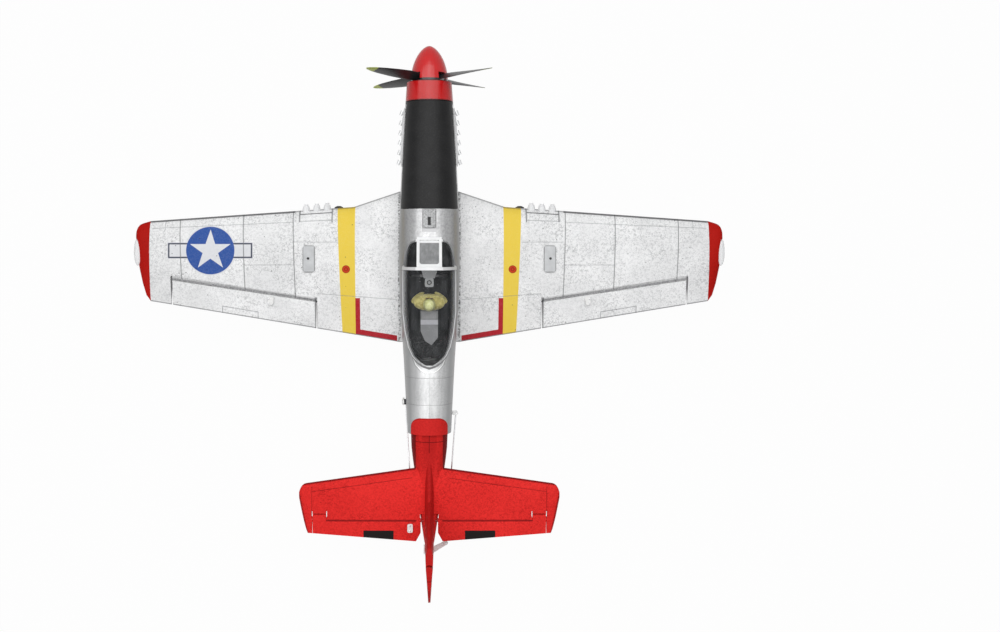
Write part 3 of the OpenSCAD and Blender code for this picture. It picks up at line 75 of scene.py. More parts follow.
class Shade:
    """One procedural material, drawn in the aeroplane's axes in mm."""

    def __init__(self, name, **surface):
        self.mat = bpy.data.materials.new(name)
        self.mat.use_nodes = True
        self.tree = self.mat.node_tree
        self.tree.nodes.clear()
        out = self.node("ShaderNodeOutputMaterial")
        self.bsdf = self.node("ShaderNodeBsdfPrincipled")
        self.link(self.bsdf.outputs[0], out.inputs[0])
        for key, value in surface.items():
            if key == "color":
                value = (*value, 1)
            self.bsdf.inputs[SOCKETS[key]].default_value = value
        coords = self.node("ShaderNodeTexCoord")
        shift = self.node("ShaderNodeVectorMath", operation="SUBTRACT")
        self.link(coords.outputs["Object"], shift.inputs[0])
        shift.inputs[1].default_value = DATUM
        turn = self.node("ShaderNodeVectorRotate", rotation_type="X_AXIS")
        turn.inputs["Angle"].default_value = -TILT
        self.link(shift.outputs[0], turn.inputs["Vector"])
        scale = self.node("ShaderNodeVectorMath", operation="SCALE")
        scale.inputs["Scale"].default_value = 1000
        self.link(turn.outputs[0], scale.inputs[0])
        self.pos = scale.outputs[0]
        parts = self.node("ShaderNodeSeparateXYZ")
        self.link(self.pos, parts.inputs[0])
        self.x, self.z = parts.outputs[0], parts.outputs[2]
        self.s = self.math("MULTIPLY", parts.outputs[1], -1)
        self.ax = self.math("ABSOLUTE", self.x)
        lean = self.node("ShaderNodeVectorRotate", rotation_type="X_AXIS")
        lean.inputs["Angle"].default_value = -TILT
        self.link(coords.outputs["Normal"], lean.inputs["Vector"])
        facing = self.node("ShaderNodeSeparateXYZ")
        self.link(lean.outputs[0], facing.inputs[0])
        self.forward, self.up = facing.outputs[1], facing.outputs[2]

    def node(self, kind, **props):
        made = self.tree.nodes.new(kind)
        for key, value in props.items():
            setattr(made, key, value)
        return made

    def link(self, a, b):
        self.tree.links.new(a, b)

    def put(self, value, socket):
        if isinstance(value, (int, float)):
            socket.default_value = value
        elif isinstance(value, tuple):
            socket.default_value = (*value, 1) if len(value) == 3 else value
        else:
            self.link(value, socket)

    def math(self, op, a, b=0.0, c=0.0, clamp=False):
        made = self.node("ShaderNodeMath", operation=op, use_clamp=clamp)
        for i, value in enumerate((a, b, c)):
            self.put(value, made.inputs[i])
        return made.outputs[0]

    def mix(self, fac, a, b):
        made = self.node("ShaderNodeMix", data_type="RGBA")
        self.put(fac, made.inputs[0])
        self.put(a, made.inputs[6])
        self.put(b, made.inputs[7])
        return made.outputs[2]

    def blend(self, fac, a, b):
        made = self.node("ShaderNodeMix", data_type="FLOAT")
        self.put(fac, made.inputs[0])
        self.put(a, made.inputs[2])
        self.put(b, made.inputs[3])
        return made.outputs[0]

    # masks: 1 inside, 0 outside, with an edge soft mm wide
    def below(self, v, limit, soft=0.25):
        gap = self.math("SUBTRACT", limit, v)
        return self.math("MULTIPLY_ADD", gap, 1 / soft, 0.5, clamp=True)

    def above(self, v, limit, soft=0.25):
        gap = self.math("SUBTRACT", v, limit)
        return self.math("MULTIPLY_ADD", gap, 1 / soft, 0.5, clamp=True)

    def both(self, *masks):
        made = masks[0]
        for m in masks[1:]:
            made = self.math("MULTIPLY", made, m)
        return made

    def any(self, *masks):
        made = masks[0]
        for m in masks[1:]:
            made = self.math("MAXIMUM", made, m)
        return made

    def minus(self, a, b):
        return self.math("MULTIPLY", a, self.math("SUBTRACT", 1, b))

    def band(self, v, lo, hi, soft=0.25):
        return self.both(self.above(v, lo, soft), self.below(v, hi, soft))

    def box(self, u, v, u0, u1, v0, v1, soft=0.25):
        return self.both(self.band(u, u0, u1, soft), self.band(v, v0, v1, soft))

    def linear(self, v, v0, a, v1, b):
        slope = (b - a) / (v1 - v0)
        return self.math("MULTIPLY_ADD", v, slope, a - slope * v0)

    def distance(self, u, v, cu, cv):
        du = self.math("SUBTRACT", u, cu)
        dv = self.math("SUBTRACT", v, cv)
        return self.math("SQRT", self.math("ADD", self.math("MULTIPLY", du, du),
                                           self.math("MULTIPLY", dv, dv)))

    def disc(self, u, v, cu, cv, r, soft=0.3):
        return self.below(self.distance(u, v, cu, cv), r, soft)

    def line(self, u, v, a, b, width=0.6, soft=0.3):
        """Straight stroke from a to b."""
        d = (b[0] - a[0], b[1] - a[1])
        size = math.hypot(*d)
        t = (d[0] / size, d[1] / size)
        along = self.math("ADD", self.math("MULTIPLY_ADD", u, t[0], -(a[0] * t[0] + a[1] * t[1])),
                          self.math("MULTIPLY", v, t[1]))
        off = self.math("ADD", self.math("MULTIPLY_ADD", u, -t[1], a[0] * t[1] - a[1] * t[0]),
                        self.math("MULTIPLY", v, t[0]))
        near = self.below(self.math("ABSOLUTE", off), width / 2, soft)
        return self.both(near, self.band(along, 0, size, soft))

    def lines(self, u, v, strokes, width=0.6, soft=0.3):
        return self.any(*[self.line(u, v, a, b, width, soft) for a, b in strokes])

    def noise(self, size, detail=2.0, rough=0.5, at_pos=None):
        made = self.node("ShaderNodeTexNoise")
        self.link(at_pos or self.pos, made.inputs["Vector"])
        made.inputs["Scale"].default_value = 1 / size
        made.inputs["Detail"].default_value = detail
        made.inputs["Roughness"].default_value = rough
        return made.outputs["Fac"]

    def cells(self, size, feature="DISTANCE_TO_EDGE"):
        made = self.node("ShaderNodeTexVoronoi", feature=feature)
        self.link(self.pos, made.inputs["Vector"])
        made.inputs["Scale"].default_value = 1 / size
        return made

    def ramp(self, v, lo, hi, a=0.0, b=1.0):
        made = self.node("ShaderNodeMapRange", clamp=True)
        for i, value in enumerate((v, lo, hi, a, b)):
            self.put(value, made.inputs[i])
        return made.outputs[0]

    def color(self, value):
        self.put(value, self.bsdf.inputs["Base Color"])

    def set(self, key, value):
        self.put(value, self.bsdf.inputs[SOCKETS[key]])

    def bump(self, height, depth_mm=0.1, strength=1.0):
        made = self.node("ShaderNodeBump")
        made.inputs["Distance"].default_value = depth_mm / 1000
        made.inputs["Strength"].default_value = strength
        self.link(height, made.inputs["Height"])
        self.link(made.outputs[0], self.bsdf.inputs["Normal"])


def beads(sh, size, strength):
    """Expanded foam: (grey of the joints between beads, height of the beads, scattered pits)."""
    edge = sh.ramp(sh.cells(size).outputs["Distance"], 0.0, 0.20)
    patch = sh.ramp(sh.noise(24, 3), 0.36, 0.66)
    broken = sh.ramp(sh.noise(size * 1.3, 2, 0.6), 0.42, 0.58)
    joint = sh.both(sh.math("SUBTRACT", 1, edge), broken, sh.blend(patch, 0.3 * strength, strength))
    spot = sh.cells(size * 1.6, "F1")
    seed = sh.node("ShaderNodeSeparateColor")
    sh.link(spot.outputs["Color"], seed.inputs[0])
    rare = sh.math("GREATER_THAN", seed.outputs[0], 0.93)
    pit = sh.both(rare, sh.below(spot.outputs["Distance"], 0.15, 0.1))
    return joint, edge, pit


# ---- wing paint: places in mm, x outwards from the centre, stations aft ----
STAR_AT, STAR_R = (-207.6, 158.0), 22.6
BARS, BARS_INSIDE, BARS_HALO = (-39.5, 39.3, 7.2), (-38.1, 37.9, 5.8), (-40.2, 40.0, 7.9)
CAP_AT, CAP_R = (79.7, 176), 3.8
COVER_HOLE = (115.6, 165.7)
# straight edges: two values of the first axis, each followed by the other axis there
LEAD_ROOT, LEAD_OUTER = (29, 101.3, 73, 116.4), (73, 116.4, 264.5, 130.2)
TRAILING = (29, 247, 264.5, 206)
YELLOW_IN, YELLOW_OUT = (116, 71.4, 236, 70.7), (116, 88.4, 236, 83.9)
YELLOW = ((0.82, 0.60, 0.075), (0.86, 0.70, 0.22))
BLUE = ((0.034, 0.092, 0.34), (0.22, 0.28, 0.46))
PALE = ((0.74, 0.75, 0.775), (0.52, 0.53, 0.55))
WALK_RED = ((0.42, 0.018, 0.028), (0.60, 0.15, 0.16))
PANEL_LINES = [((130.5, 118), (128.0, 203)), ((177.4, 121), (175.6, 195)), ((236.6, 126), (234.8, 185))]
TAB = [((164.1, 217.0), (197.6, 211.2)), ((164.1, 217.0), (164.1, 224)), ((197.6, 211.2), (197.6, 218))]
FINE_LINES = [((128.6, 171.8), (176.6, 171.8)), ((31, 205.4), (107, 199.4)), ((129.5, 131), (262, 137)),
              ((88, 150), (128, 150)), ((250, 129), (250, 138.5))]
GUN_BAY = [((93.2, 117.5), (93.2, 131)), ((124.2, 119.5), (124.2, 131))]
GUN_FRONT = [((93.6, 121.6), (124, 123.6))]
GUN_REAR = [((93.6, 129), (124, 130.2))]
HINGE_IN, HINGE_OUT = (109.0, 206.0), (244.0, 184.9)


def insignia(sh, cx, cy):
    """Star and bars: masks of the pale ground, the blue and the outline."""
    x, s = sh.x, sh.s
    r = sh.distance(x, s, cx, cy)

    def bar(lo, hi, half):
        return sh.box(x, s, cx + lo, cx + hi, cy - half, cy + half)

    disc = sh.below(r, STAR_R)
    halo = sh.any(sh.below(r, STAR_R + 1.2), bar(*BARS_HALO))
    frame_line = sh.minus(sh.minus(bar(*BARS), bar(*BARS_INSIDE)), disc)
    points = None
    for k in range(5):
        a = math.radians(72 * k - 90)
        across = sh.math("ADD", sh.math("MULTIPLY_ADD", x, math.cos(a), -cx * math.cos(a)),
                         sh.math("MULTIPLY_ADD", s, math.sin(a), -cy * math.sin(a)))
        inner = sh.below(across, 20.0 * math.cos(math.radians(72)), 0.3)
        points = inner if points is None else sh.math("ADD", points, inner)
    star = sh.math("SUBTRACT", points, 3, clamp=True)
    return halo, sh.minus(disc, star), frame_line


def wing_marks(sh):
    """Masks of the wing's paint and panel lines; what is painted on the top only is cut by the facing."""
    s, ax = sh.s, sh.ax
    top = sh.above(sh.up, 0.0, 0.1)
    strong = sh.any(sh.lines(ax, s, PANEL_LINES, 0.85, 0.4), sh.both(top, sh.lines(ax, s, GUN_BAY, 1.3, 0.4)))
    fine = sh.any(sh.lines(ax, s, FINE_LINES, 0.5, 0.4), sh.lines(ax, s, TAB, 0.85, 0.4),
                  sh.both(top, sh.lines(ax, s, GUN_REAR, 0.7, 0.4)))
    lead = sh.math("MINIMUM", sh.linear(ax, *LEAD_ROOT), sh.linear(ax, *LEAD_OUTER))
    nose = sh.math("SUBTRACT", s, lead)
    # the leading-edge seam drawn as a dark line of painted shade, with the gun bay's front line
    outboard = sh.above(ax, 128.5, 1)
    seam = sh.any(sh.both(sh.below(nose, 1.5, 0.6), outboard),
                  sh.both(top, sh.lines(ax, s, GUN_FRONT, 0.9, 0.4)),
                  sh.math("MULTIPLY", sh.below(nose, 1.0, 0.5), 0.6))
    inner = sh.linear(s, *YELLOW_IN)
    outer = sh.linear(s, *YELLOW_OUT)
    yellow = sh.both(sh.above(sh.math("SUBTRACT", ax, inner), 0), sh.below(sh.math("SUBTRACT", ax, outer), 0))
    aft = sh.linear(ax, *TRAILING)
    edge = sh.math("SUBTRACT", aft, s)
    walk = sh.any(sh.both(sh.band(ax, 66.6, 71.1), sh.above(s, 203.8), sh.above(edge, 0.6)),
                  sh.both(sh.band(ax, 31.2, 71.1), sh.band(edge, 0.6, 6.0)))
    rim = sh.both(sh.below(edge, 1.0, 0.5), top)
    dot = sh.distance(ax, s, *CAP_AT)
    cap = sh.both(top, sh.below(dot, CAP_R))
    ring = sh.any(sh.band(dot, 3.1, CAP_R), sh.band(dot, 1.0, 1.9))
    # painted shadow: a dark band along the wing root beside the fuselage
    root = sh.both(top, sh.band(ax, 27.6, 30.0, 1.0), sh.below(s, 246))
    # painted shade: a soft dark band along the aileron's hinge groove, sharp at the rear and fading forwards
    along = sh.linear(ax, HINGE_IN[0], HINGE_IN[1], HINGE_OUT[0], HINGE_OUT[1])
    before = sh.math("SUBTRACT", along, s)
    cove = sh.both(top, sh.band(ax, HINGE_IN[0] - 0.6, HINGE_OUT[0] + 0.4), sh.above(before, -1.4, 0.6),
                   sh.below(before, 1.9, 2.6))
    ends = sh.any(sh.box(ax, s, 107.3, 109.9, 203.0, 238, 0.5),
                  sh.both(sh.box(ax, s, 243.6, 245.4, 182.5, 212, 0.5), sh.below(s, 200, 14)))
    halo, blue, outline = insignia(sh, *STAR_AT)
    return dict(strong=strong, fine=fine, seam=seam, yellow=yellow, walk=sh.both(top, walk), cap=cap,
                rim=rim, ring=ring, root=root, cove=cove, ends=sh.both(top, ends),
                halo=sh.both(top, halo), blue=sh.both(top, blue), outline=sh.both(top, outline))


def wing_foam(name):
    sh = Shade(name, rough=0.55, spec=0.08)
    joint, height, pit = beads(sh, 2.0, 0.9)
    m = wing_marks(sh)
    patch = sh.ramp(sh.noise(34, 3, 0.55), 0.36, 0.66)
    base = sh.mix(patch, (0.82, 0.823, 0.826), (0.93, 0.932, 0.934))
    fleck = sh.ramp(sh.noise(1.7, 3, 0.8), 0.50, 0.64)
    base = sh.mix(sh.math("MULTIPLY", fleck, 0.36), base, (0.54, 0.545, 0.55))
    smudge = sh.ramp(sh.noise(11, 4, 0.62), 0.56, 0.74)
    base = sh.mix(sh.math("MULTIPLY", smudge, 0.18), base, (0.50, 0.50, 0.50))
    tips = sh.both(sh.ramp(sh.ax, 190, 262), sh.ramp(fleck, 0, 1, 0.12, 0.35))
    base = sh.mix(tips, base, (0.42, 0.42, 0.42))
    # painted light: the wing lighter towards its root
    base = sh.mix(sh.ramp(sh.ax, 60, 40, 0.0, 0.35), base, (0.96, 0.962, 0.964))
    base = sh.mix(joint, base, (0.42, 0.425, 0.43))
    grit = sh.math("MULTIPLY", sh.any(joint, sh.math("MULTIPLY", fleck, 0.5)), 0.30)
    paint = sh.mix(m["halo"], base, sh.mix(grit, *PALE))
    paint = sh.mix(m["blue"], paint, sh.mix(grit, *BLUE))
    paint = sh.mix(sh.math("MULTIPLY", m["outline"], 0.92), paint, (0.018, 0.022, 0.055))
    paint = sh.mix(m["yellow"], paint, sh.mix(grit, *YELLOW))
    paint = sh.mix(m["walk"], paint, sh.mix(grit, *WALK_RED))
    paint = sh.mix(m["cap"], paint, (0.58, 0.05, 0.015))
    paint = sh.mix(sh.both(m["cap"], m["ring"]), paint, (0.32, 0.03, 0.012))
    paint = sh.mix(sh.math("MULTIPLY", m["fine"], 0.62), paint, (0.24, 0.25, 0.26))
    paint = sh.mix(sh.math("MULTIPLY", m["strong"], 0.75), paint, (0.17, 0.175, 0.18))
    paint = sh.mix(sh.math("MULTIPLY", m["rim"], 0.75), paint, (0.16, 0.16, 0.17))
    # painted shade along the leading-edge seam
    paint = sh.mix(sh.math("MULTIPLY", m["seam"], 0.86), paint, (0.07, 0.07, 0.075))
    # painted shade in the aileron's hinge groove, broken by noise
    soft = sh.blend(sh.ramp(sh.noise(1.6, 2, 0.6), 0.35, 0.65), 0.62, 0.86)
    paint = sh.mix(sh.math("MULTIPLY", m["cove"], soft), paint, (0.12, 0.12, 0.125))
    paint = sh.mix(sh.math("MULTIPLY", m["ends"], 0.7), paint, (0.09, 0.09, 0.095))
    # painted shadow along the wing root, broken into dashes
    dashes = sh.ramp(sh.noise(2.4, 3, 0.7), 0.44, 0.60)
    paint = sh.mix(sh.both(m["root"], dashes), paint, (0.12, 0.12, 0.12))
    socket = sh.disc(sh.ax, sh.s, *COVER_HOLE, 1.4, 0.5)
    paint = sh.mix(sh.math("MAXIMUM", sh.math("MULTIPLY", pit, 0.8), socket), paint, (0.06, 0.06, 0.06))
    sh.color(paint)
    groove = sh.any(m["strong"], sh.math("MULTIPLY", m["fine"], 0.7))
    relief = sh.math("SUBTRACT", sh.math("MULTIPLY", height, 0.35), sh.math("MULTIPLY", groove, 1.6))
    sh.bump(sh.math("SUBTRACT", relief, pit), 0.12)
    return sh.mat


def plain_foam(name, light, dark, joint_color, size=1.7, strength=0.4, rough=0.5, spec=0.22, extra=None,
               relief_mm=0.1):
    """Beaded foam in one colour, with what extra paints over it."""
    sh = Shade(name, rough=rough, spec=spec)
    joint, height, pit = beads(sh, size, strength)
    base = sh.mix(sh.ramp(sh.noise(45, 2), 0.3, 0.7), dark, light)
    base = sh.mix(joint, base, joint_color)
    relief = sh.math("MULTIPLY", height, 0.4)
    if extra:
        base, relief = extra(sh, base, relief)
    base = sh.mix(sh.math("MULTIPLY", pit, 0.6), base, tuple(c * 0.4 for c in joint_color))
    sh.color(base)
    sh.bump(sh.math("SUBTRACT", relief, pit), relief_mm)
    return sh.mat


def streaks(sh, size, stretch, detail=4.0, rough=0.6):
    """Noise drawn out along the fuselage."""
    long = sh.node("ShaderNodeVectorMath", operation="MULTIPLY")
    sh.link(sh.pos, long.inputs[0])
    long.inputs[1].default_value = (1.0, 1 / stretch, 1.0)
    return sh.noise(size, detail, rough, long.outputs[0])


# half widths of the bubble and the windshield at their stations
BUBBLE = [(174, 23.5), (215, 23.5), (232, 21.5), (246, 18.3), (254, 14.2), (259, 9.3), (262, 4.5), (263, 0.8)]
SHIELD = [(147.6, 11.0), (150, 18.0), (154, 20.4), (162, 22.3), (174, 23.5)]
SKIRT = [(240, 20.0), (254, 15.2), (262, 12.1), (266.7, 7.7), (269.0, 3.5), (269.7, 0.0)]
# the tail's red over the rear of the fuselage: half width, flat half of its front, corner, its centre
ARCH_HALF, ARCH_FLAT, ARCH_CORNER, ARCH_STA = 17.0, 8.0, 9.0, 320.0


def outline(sh, rows):
    """Half width of a convex plan outline at each station."""
    made = None
    for (s0, x0), (s1, x1) in zip(rows, rows[1:]):
        side = sh.linear(sh.s, s0, x0, s1, x1)
        made = side if made is None else sh.math("MINIMUM", made, side)
    return made


def red_foam(sh):
    """Red of the tail, dusted darker."""
    base = sh.mix(sh.ramp(sh.noise(45, 2), 0.3, 0.7), RED[1], RED[0])
    dust = sh.ramp(sh.noise(1.8, 3, 0.7), 0.45, 0.65)
    return sh.mix(sh.math("MULTIPLY", dust, 0.3), base, RED[2])


def fuselage_paint(sh, base, relief):
    """Silver with mottled wear, painted shade on its sides, painted reflection streaks, panel lines, the
    canopy's skirt with a painted highlight and shade at its edge, the tail's red with painted shade along its
    front, painted shade in the latch's recess, and black under the glass.
    """
    s, ax, z = sh.s, sh.ax, sh.z
    high = sh.above(z, -8, 1)
    rings = sh.both(sh.any(*[sh.band(s, q - 0.25, q + 0.25, 0.4) for q in (274, 299)]), high)
    seam = sh.both(sh.below(ax, 0.22, 0.4), sh.above(s, 270), sh.above(sh.up, 0))
    # painted shade: darker where the surface turns from straight up towards the sides
    side_shade = sh.ramp(sh.up, 0.99, 0.55)
    base = sh.mix(sh.math("MULTIPLY", side_shade, 0.80), base, (0.26, 0.263, 0.266))
    # painted reflection: darker bands drawn out along the fuselage's silver
    wear = sh.ramp(streaks(sh, 3.4, 5), 0.44, 0.70)
    base = sh.mix(sh.math("MULTIPLY", wear, 0.34), base, (0.30, 0.303, 0.31))
    mottle = sh.both(sh.ramp(sh.noise(2.2, 4, 0.7), 0.45, 0.62), sh.below(s, 176, 14), sh.above(s, 120, 2))
    base = sh.mix(sh.math("MULTIPLY", mottle, 0.5), base, (0.22, 0.22, 0.225))
    front = sh.both(sh.below(s, 176, 14), sh.above(s, 117, 4))
    base = sh.mix(sh.math("MULTIPLY", front, 0.42), base, (0.26, 0.26, 0.265))
    spots = sh.both(sh.any(sh.disc(s, z, 220, 7, 1.0), sh.disc(s, z, 254, 7, 1.3)), sh.above(ax, 18))
    base = sh.mix(sh.math("MULTIPLY", spots, 0.7), base, (0.20, 0.06, 0.05))
    # the skirt behind the bubble: a rounded edge that narrows to the rear, painted with a highlight along the
    # edge and painted shade just outside it
    half = outline(sh, SKIRT)
    far = sh.math("SUBTRACT", ax, half)
    skirt = sh.both(sh.band(far, -0.45, 0.45, 0.5), sh.band(s, 240, 269.4, 1), high)
    under = sh.both(sh.band(far, 0.5, 1.5, 0.5), sh.band(s, 240, 270.3, 1), high)
    base = sh.mix(sh.math("MULTIPLY", under, 0.45), base, (0.20, 0.20, 0.20))
    base = sh.mix(sh.math("MULTIPLY", skirt, 0.7), base, (0.92, 0.92, 0.92))
    marks = sh.any(rings, sh.math("MULTIPLY", seam, 0.6))
    base = sh.mix(sh.math("MULTIPLY", marks, 0.55), base, (0.16, 0.16, 0.16))
    # the red of the tail runs forward over the joint, with painted shade along its front edge standing for
    # the shadow of a step
    turn = sh.math("MAXIMUM", sh.math("SUBTRACT", ax, ARCH_FLAT), 0)
    left = sh.math("SUBTRACT", ARCH_CORNER ** 2, sh.math("MULTIPLY", turn, turn))
    edge = sh.math("SUBTRACT", ARCH_STA, sh.math("SQRT", sh.math("MAXIMUM", left, 0)))
    red = sh.both(sh.above(sh.math("SUBTRACT", s, edge), 0, 0.4), sh.below(ax, ARCH_HALF, 0.4), high)
    # painted shade: darker red just behind the front edge of the red
    arch_shade = sh.both(red, sh.below(sh.math("SUBTRACT", s, edge), 1.2, 0.6))
    base = sh.mix(red, base, sh.mix(0.36, red_foam(sh), RED[2]))
    base = sh.mix(sh.math("MULTIPLY", arch_shade, 0.6), base, RED[2])
    under_glass = sh.minus(sh.both(sh.below(sh.math("SUBTRACT", ax, outline(sh, BUBBLE)), -1.0, 0.4),
                                   sh.band(s, 172, 262.2)), sh.below(sh.up, 0))
    under_pane = sh.both(sh.below(sh.math("SUBTRACT", ax, outline(sh, SHIELD)), -1.0, 0.4),
                         sh.band(s, 149, 173), sh.above(sh.up, 0))
    base = sh.mix(sh.both(sh.any(under_glass, under_pane), sh.above(z, 1)), base, (0.022, 0.022, 0.023))
    # floor of the latch's recess, darkened as painted shade, and the joint with the cowl ring
    recess = sh.both(sh.box(ax, s, -1, 6.9, 119, 141), sh.below(z, 27.8), sh.above(z, 20))
    base = sh.mix(recess, base, (0.30, 0.30, 0.305))
    collar = sh.below(s, 21.5, 0.4)
    base = sh.mix(collar, base, (0.018, 0.018, 0.018))
    sh.set("rough", sh.blend(red, 0.32, 0.55))
    sh.set("metal", sh.minus(sh.math("MULTIPLY", sh.minus(1.0, red), 0.6), sh.any(under_glass, under_pane)))
    lift = sh.math("SUBTRACT", relief, sh.math("MULTIPLY", marks, 1.6))
    return base, sh.math("ADD", lift, sh.math("MULTIPLY", skirt, 1.5))


RED = ((0.86, 0.034, 0.030), (0.78, 0.028, 0.025), (0.34, 0.008, 0.008))
TRIM_IN, TRIM_OUT, TRIM_STA = 33, 61, 416.8
HINGE_STA = (406.7, 408.2)
TAIL_LEAD, TAIL_TIP, TAIL_TRAIL = (12, 358.8, 112, 372.8), (380, 121.4, 419, 113.2), (15.5, 427, 120, 418.5)
TAIL_LINES = [((16, 367.5), (108.5, 380.5)), ((108.5, 376), (108.5, 401.5)), ((96, 401), (108.2, 401))]


def tail_paint(sh, base, relief):
    """Black trim tabs, painted shade on the fin, seams of cone and fin, hinge and panel lines, dark leading
    edges and tips.
    """
    s, ax, z = sh.s, sh.ax, sh.z
    flat = sh.band(z, 4, 18, 1)
    aft = sh.linear(ax, *TAIL_TRAIL)
    tab = sh.both(sh.band(ax, TRIM_IN, TRIM_OUT), sh.above(s, TRIM_STA), sh.above(z, 6, 1),
                  sh.below(sh.math("SUBTRACT", s, aft), 2))
    dust = sh.ramp(sh.noise(1.8, 3, 0.7), 0.45, 0.65)
    base = sh.mix(sh.math("MULTIPLY", dust, 0.28), base, RED[2])
    # painted shade: the fin darker than the flat surfaces; the cone's front is darker too
    fin = sh.both(sh.above(z, 17, 3), sh.below(ax, 7))
    cone = sh.both(sh.below(s, 362, 12), sh.above(z, -30))
    base = sh.mix(sh.any(sh.math("MULTIPLY", fin, 0.62), sh.math("MULTIPLY", cone, 0.3)), base, RED[2])
    base = sh.mix(tab, base, (0.016, 0.013, 0.013))
    hinge = sh.both(flat, sh.band(ax, 12, 95.5, 0.5), sh.band(s, *HINGE_STA, 0.6), sh.above(sh.up, 0))
    ring = sh.both(sh.band(s, 333.6, 334.3, 0.4), sh.above(z, 0, 1))
    spine = sh.both(sh.below(ax, 0.3, 0.3), sh.below(s, 344))
    front = sh.math("SUBTRACT", s, sh.linear(ax, *TAIL_LEAD))
    rim = sh.both(flat, sh.above(ax, 12.5), sh.below(front, 1.4, 0.9))
    beyond = sh.math("SUBTRACT", ax, sh.linear(s, *TAIL_TIP))
    tip = sh.both(flat, sh.above(beyond, -1.2, 0.8))
    strokes = sh.both(flat, sh.lines(ax, s, TAIL_LINES, 0.5, 0.35))
    fin_line = sh.both(sh.above(z, 20, 1), sh.band(s, 441.2, 441.9, 0.4), sh.below(z, 84, 1))
    dark = sh.any(ring, spine, rim, sh.math("MULTIPLY", tip, 0.7), fin_line,
                  sh.math("MULTIPLY", strokes, 0.8), sh.math("MULTIPLY", hinge, 0.9))
    base = sh.mix(sh.math("MULTIPLY", dark, 0.8), base, (0.10, 0.005, 0.006))
    return base, sh.math("SUBTRACT", relief, sh.math("MULTIPLY", sh.any(ring, spine, strokes), 1.2))


# ---- other finishes ----
def moulded(name, color, rough=0.4, grain=0.05, scale=0.7, vary=0.12, mark=None, **surface):
    """Moulded or painted plastic and metal with a fine grain and slight wear."""
    surface.setdefault("spec", 0.3)
    sh = Shade(name, **surface)
    shade = sh.ramp(sh.noise(scale * 14, 3), 0.3, 0.7)
    worn = tuple(min(1.0, c * (1 + vary) + 0.004) for c in color)
    dull = tuple(c * (1 - vary) for c in color)
    base = sh.mix(shade, dull, worn)
    fine = sh.noise(scale, 3, 0.6)
    height = fine
    if mark:
        base, height = mark(sh, base, fine)
    sh.color(base)
    sh.set("rough", sh.ramp(fine, 0.3, 0.7, rough * 0.85, min(1.0, rough * 1.2)))
    sh.bump(height, grain)
    return sh.mat


def spinner_paint(sh, base, height):
    """Black rear edge of the spinner, towards its back plate."""
    return sh.mix(sh.above(sh.s, -1.7, 0.4), base, (0.010, 0.008, 0.008)), height


def cowl_paint(sh, base, height):
    """Dark joints at both ends of the nose ring."""
    ends = sh.any(sh.below(sh.s, 1.6, 0.5), sh.above(sh.s, 18.2, 0.6))
    return sh.mix(sh.math("MULTIPLY", ends, 0.6), base, (0.10, 0.004, 0.005)), height


def hatch_paint(sh, base, height):
    """Moulded outline of the hatch's front lip and two faint panel lines."""
    lines = sh.any(*[sh.band(sh.s, q - 0.2, q + 0.2, 0.4) for q in (23.5, 113.5)])
    dust = sh.ramp(sh.noise(1.1, 3, 0.7), 0.5, 0.72)
    base = sh.mix(sh.math("MULTIPLY", dust, 0.25), base, (0.05, 0.05, 0.05))
    return sh.mix(sh.math("MULTIPLY", lines, 0.5), base, (0.006, 0.006, 0.006)), height


def windshield_paint(sh, base, height):
    """Silver feet of the side panes; the posts and the hoop's middle stay white."""
    foot = sh.both(sh.above(sh.ax, 12.4, 0.5), sh.below(sh.s, 171.6, 0.5))
    side = sh.both(sh.above(sh.ax, 12.4, 0.5), sh.above(sh.s, 171.6, 0.5))
    base = sh.mix(foot, base, (0.22, 0.222, 0.225))
    return sh.mix(side, base, (0.62, 0.625, 0.63)), height


def rail_paint(sh, base, height):
    """Bright edge of the rail round the canopy, darker on both sides of it."""
    far = sh.math("SUBTRACT", sh.ax, outline(sh, BUBBLE))
    base = sh.mix(sh.band(far, 0.5, 1.1, 0.3), base, (0.70, 0.705, 0.71))
    return sh.mix(sh.above(far, 1.6, 0.4), base, (0.16, 0.16, 0.165)), height


def latch_paint(sh, base, height):
    """Ribbed, scuffed silver with the dark slot of the latch."""
    slot = sh.box(sh.ax, sh.s, -1, 1.35, 127, 134.5, 0.4)
    rough = sh.ramp(sh.noise(1.3, 3, 0.75), 0.44, 0.58)
    base = sh.mix(sh.math("MULTIPLY", rough, 0.6), base, (0.14, 0.14, 0.14))
    rim = sh.any(sh.above(sh.ax, 5.5, 0.4), sh.above(sh.s, 136.6, 0.4))
    base = sh.mix(sh.math("MULTIPLY", rim, 0.7), base, (0.10, 0.10, 0.10))
    return sh.mix(slot, base, (0.02, 0.02, 0.02)), sh.math("SUBTRACT", height, sh.math("MULTIPLY", slot, 4))


def cover_paint(sh, base, height):
    """Dark edge round each cover plate and its one screw hole."""
    near = sh.box(sh.ax, sh.s, 109.9, 120.1, 153.8, 178.2, 0.3)
    hole = sh.disc(sh.ax, sh.s, 115.5, 165.6, 1.2, 0.4)
    base = sh.mix(sh.math("MULTIPLY", sh.math("SUBTRACT", 1, near), 0.75), base, (0.09, 0.09, 0.09))
    return sh.mix(hole, base, (0.03, 0.03, 0.03)), sh.math("SUBTRACT", height, sh.math("MULTIPLY", hole, 4))


def radio_paint(sh, base, height):
    """Lighter band and end of the box behind the seat."""
    band = sh.band(sh.s, 221.6, 226.0, 0.4)
    lid = sh.both(sh.band(sh.s, 214, 220.5, 0.4), sh.below(sh.ax, 6.5, 0.4))
    base = sh.mix(sh.math("MULTIPLY", lid, 0.3), base, (0.40, 0.40, 0.41))
    return sh.mix(sh.math("MULTIPLY", band, 0.7), base, (0.52, 0.52, 0.56)), height


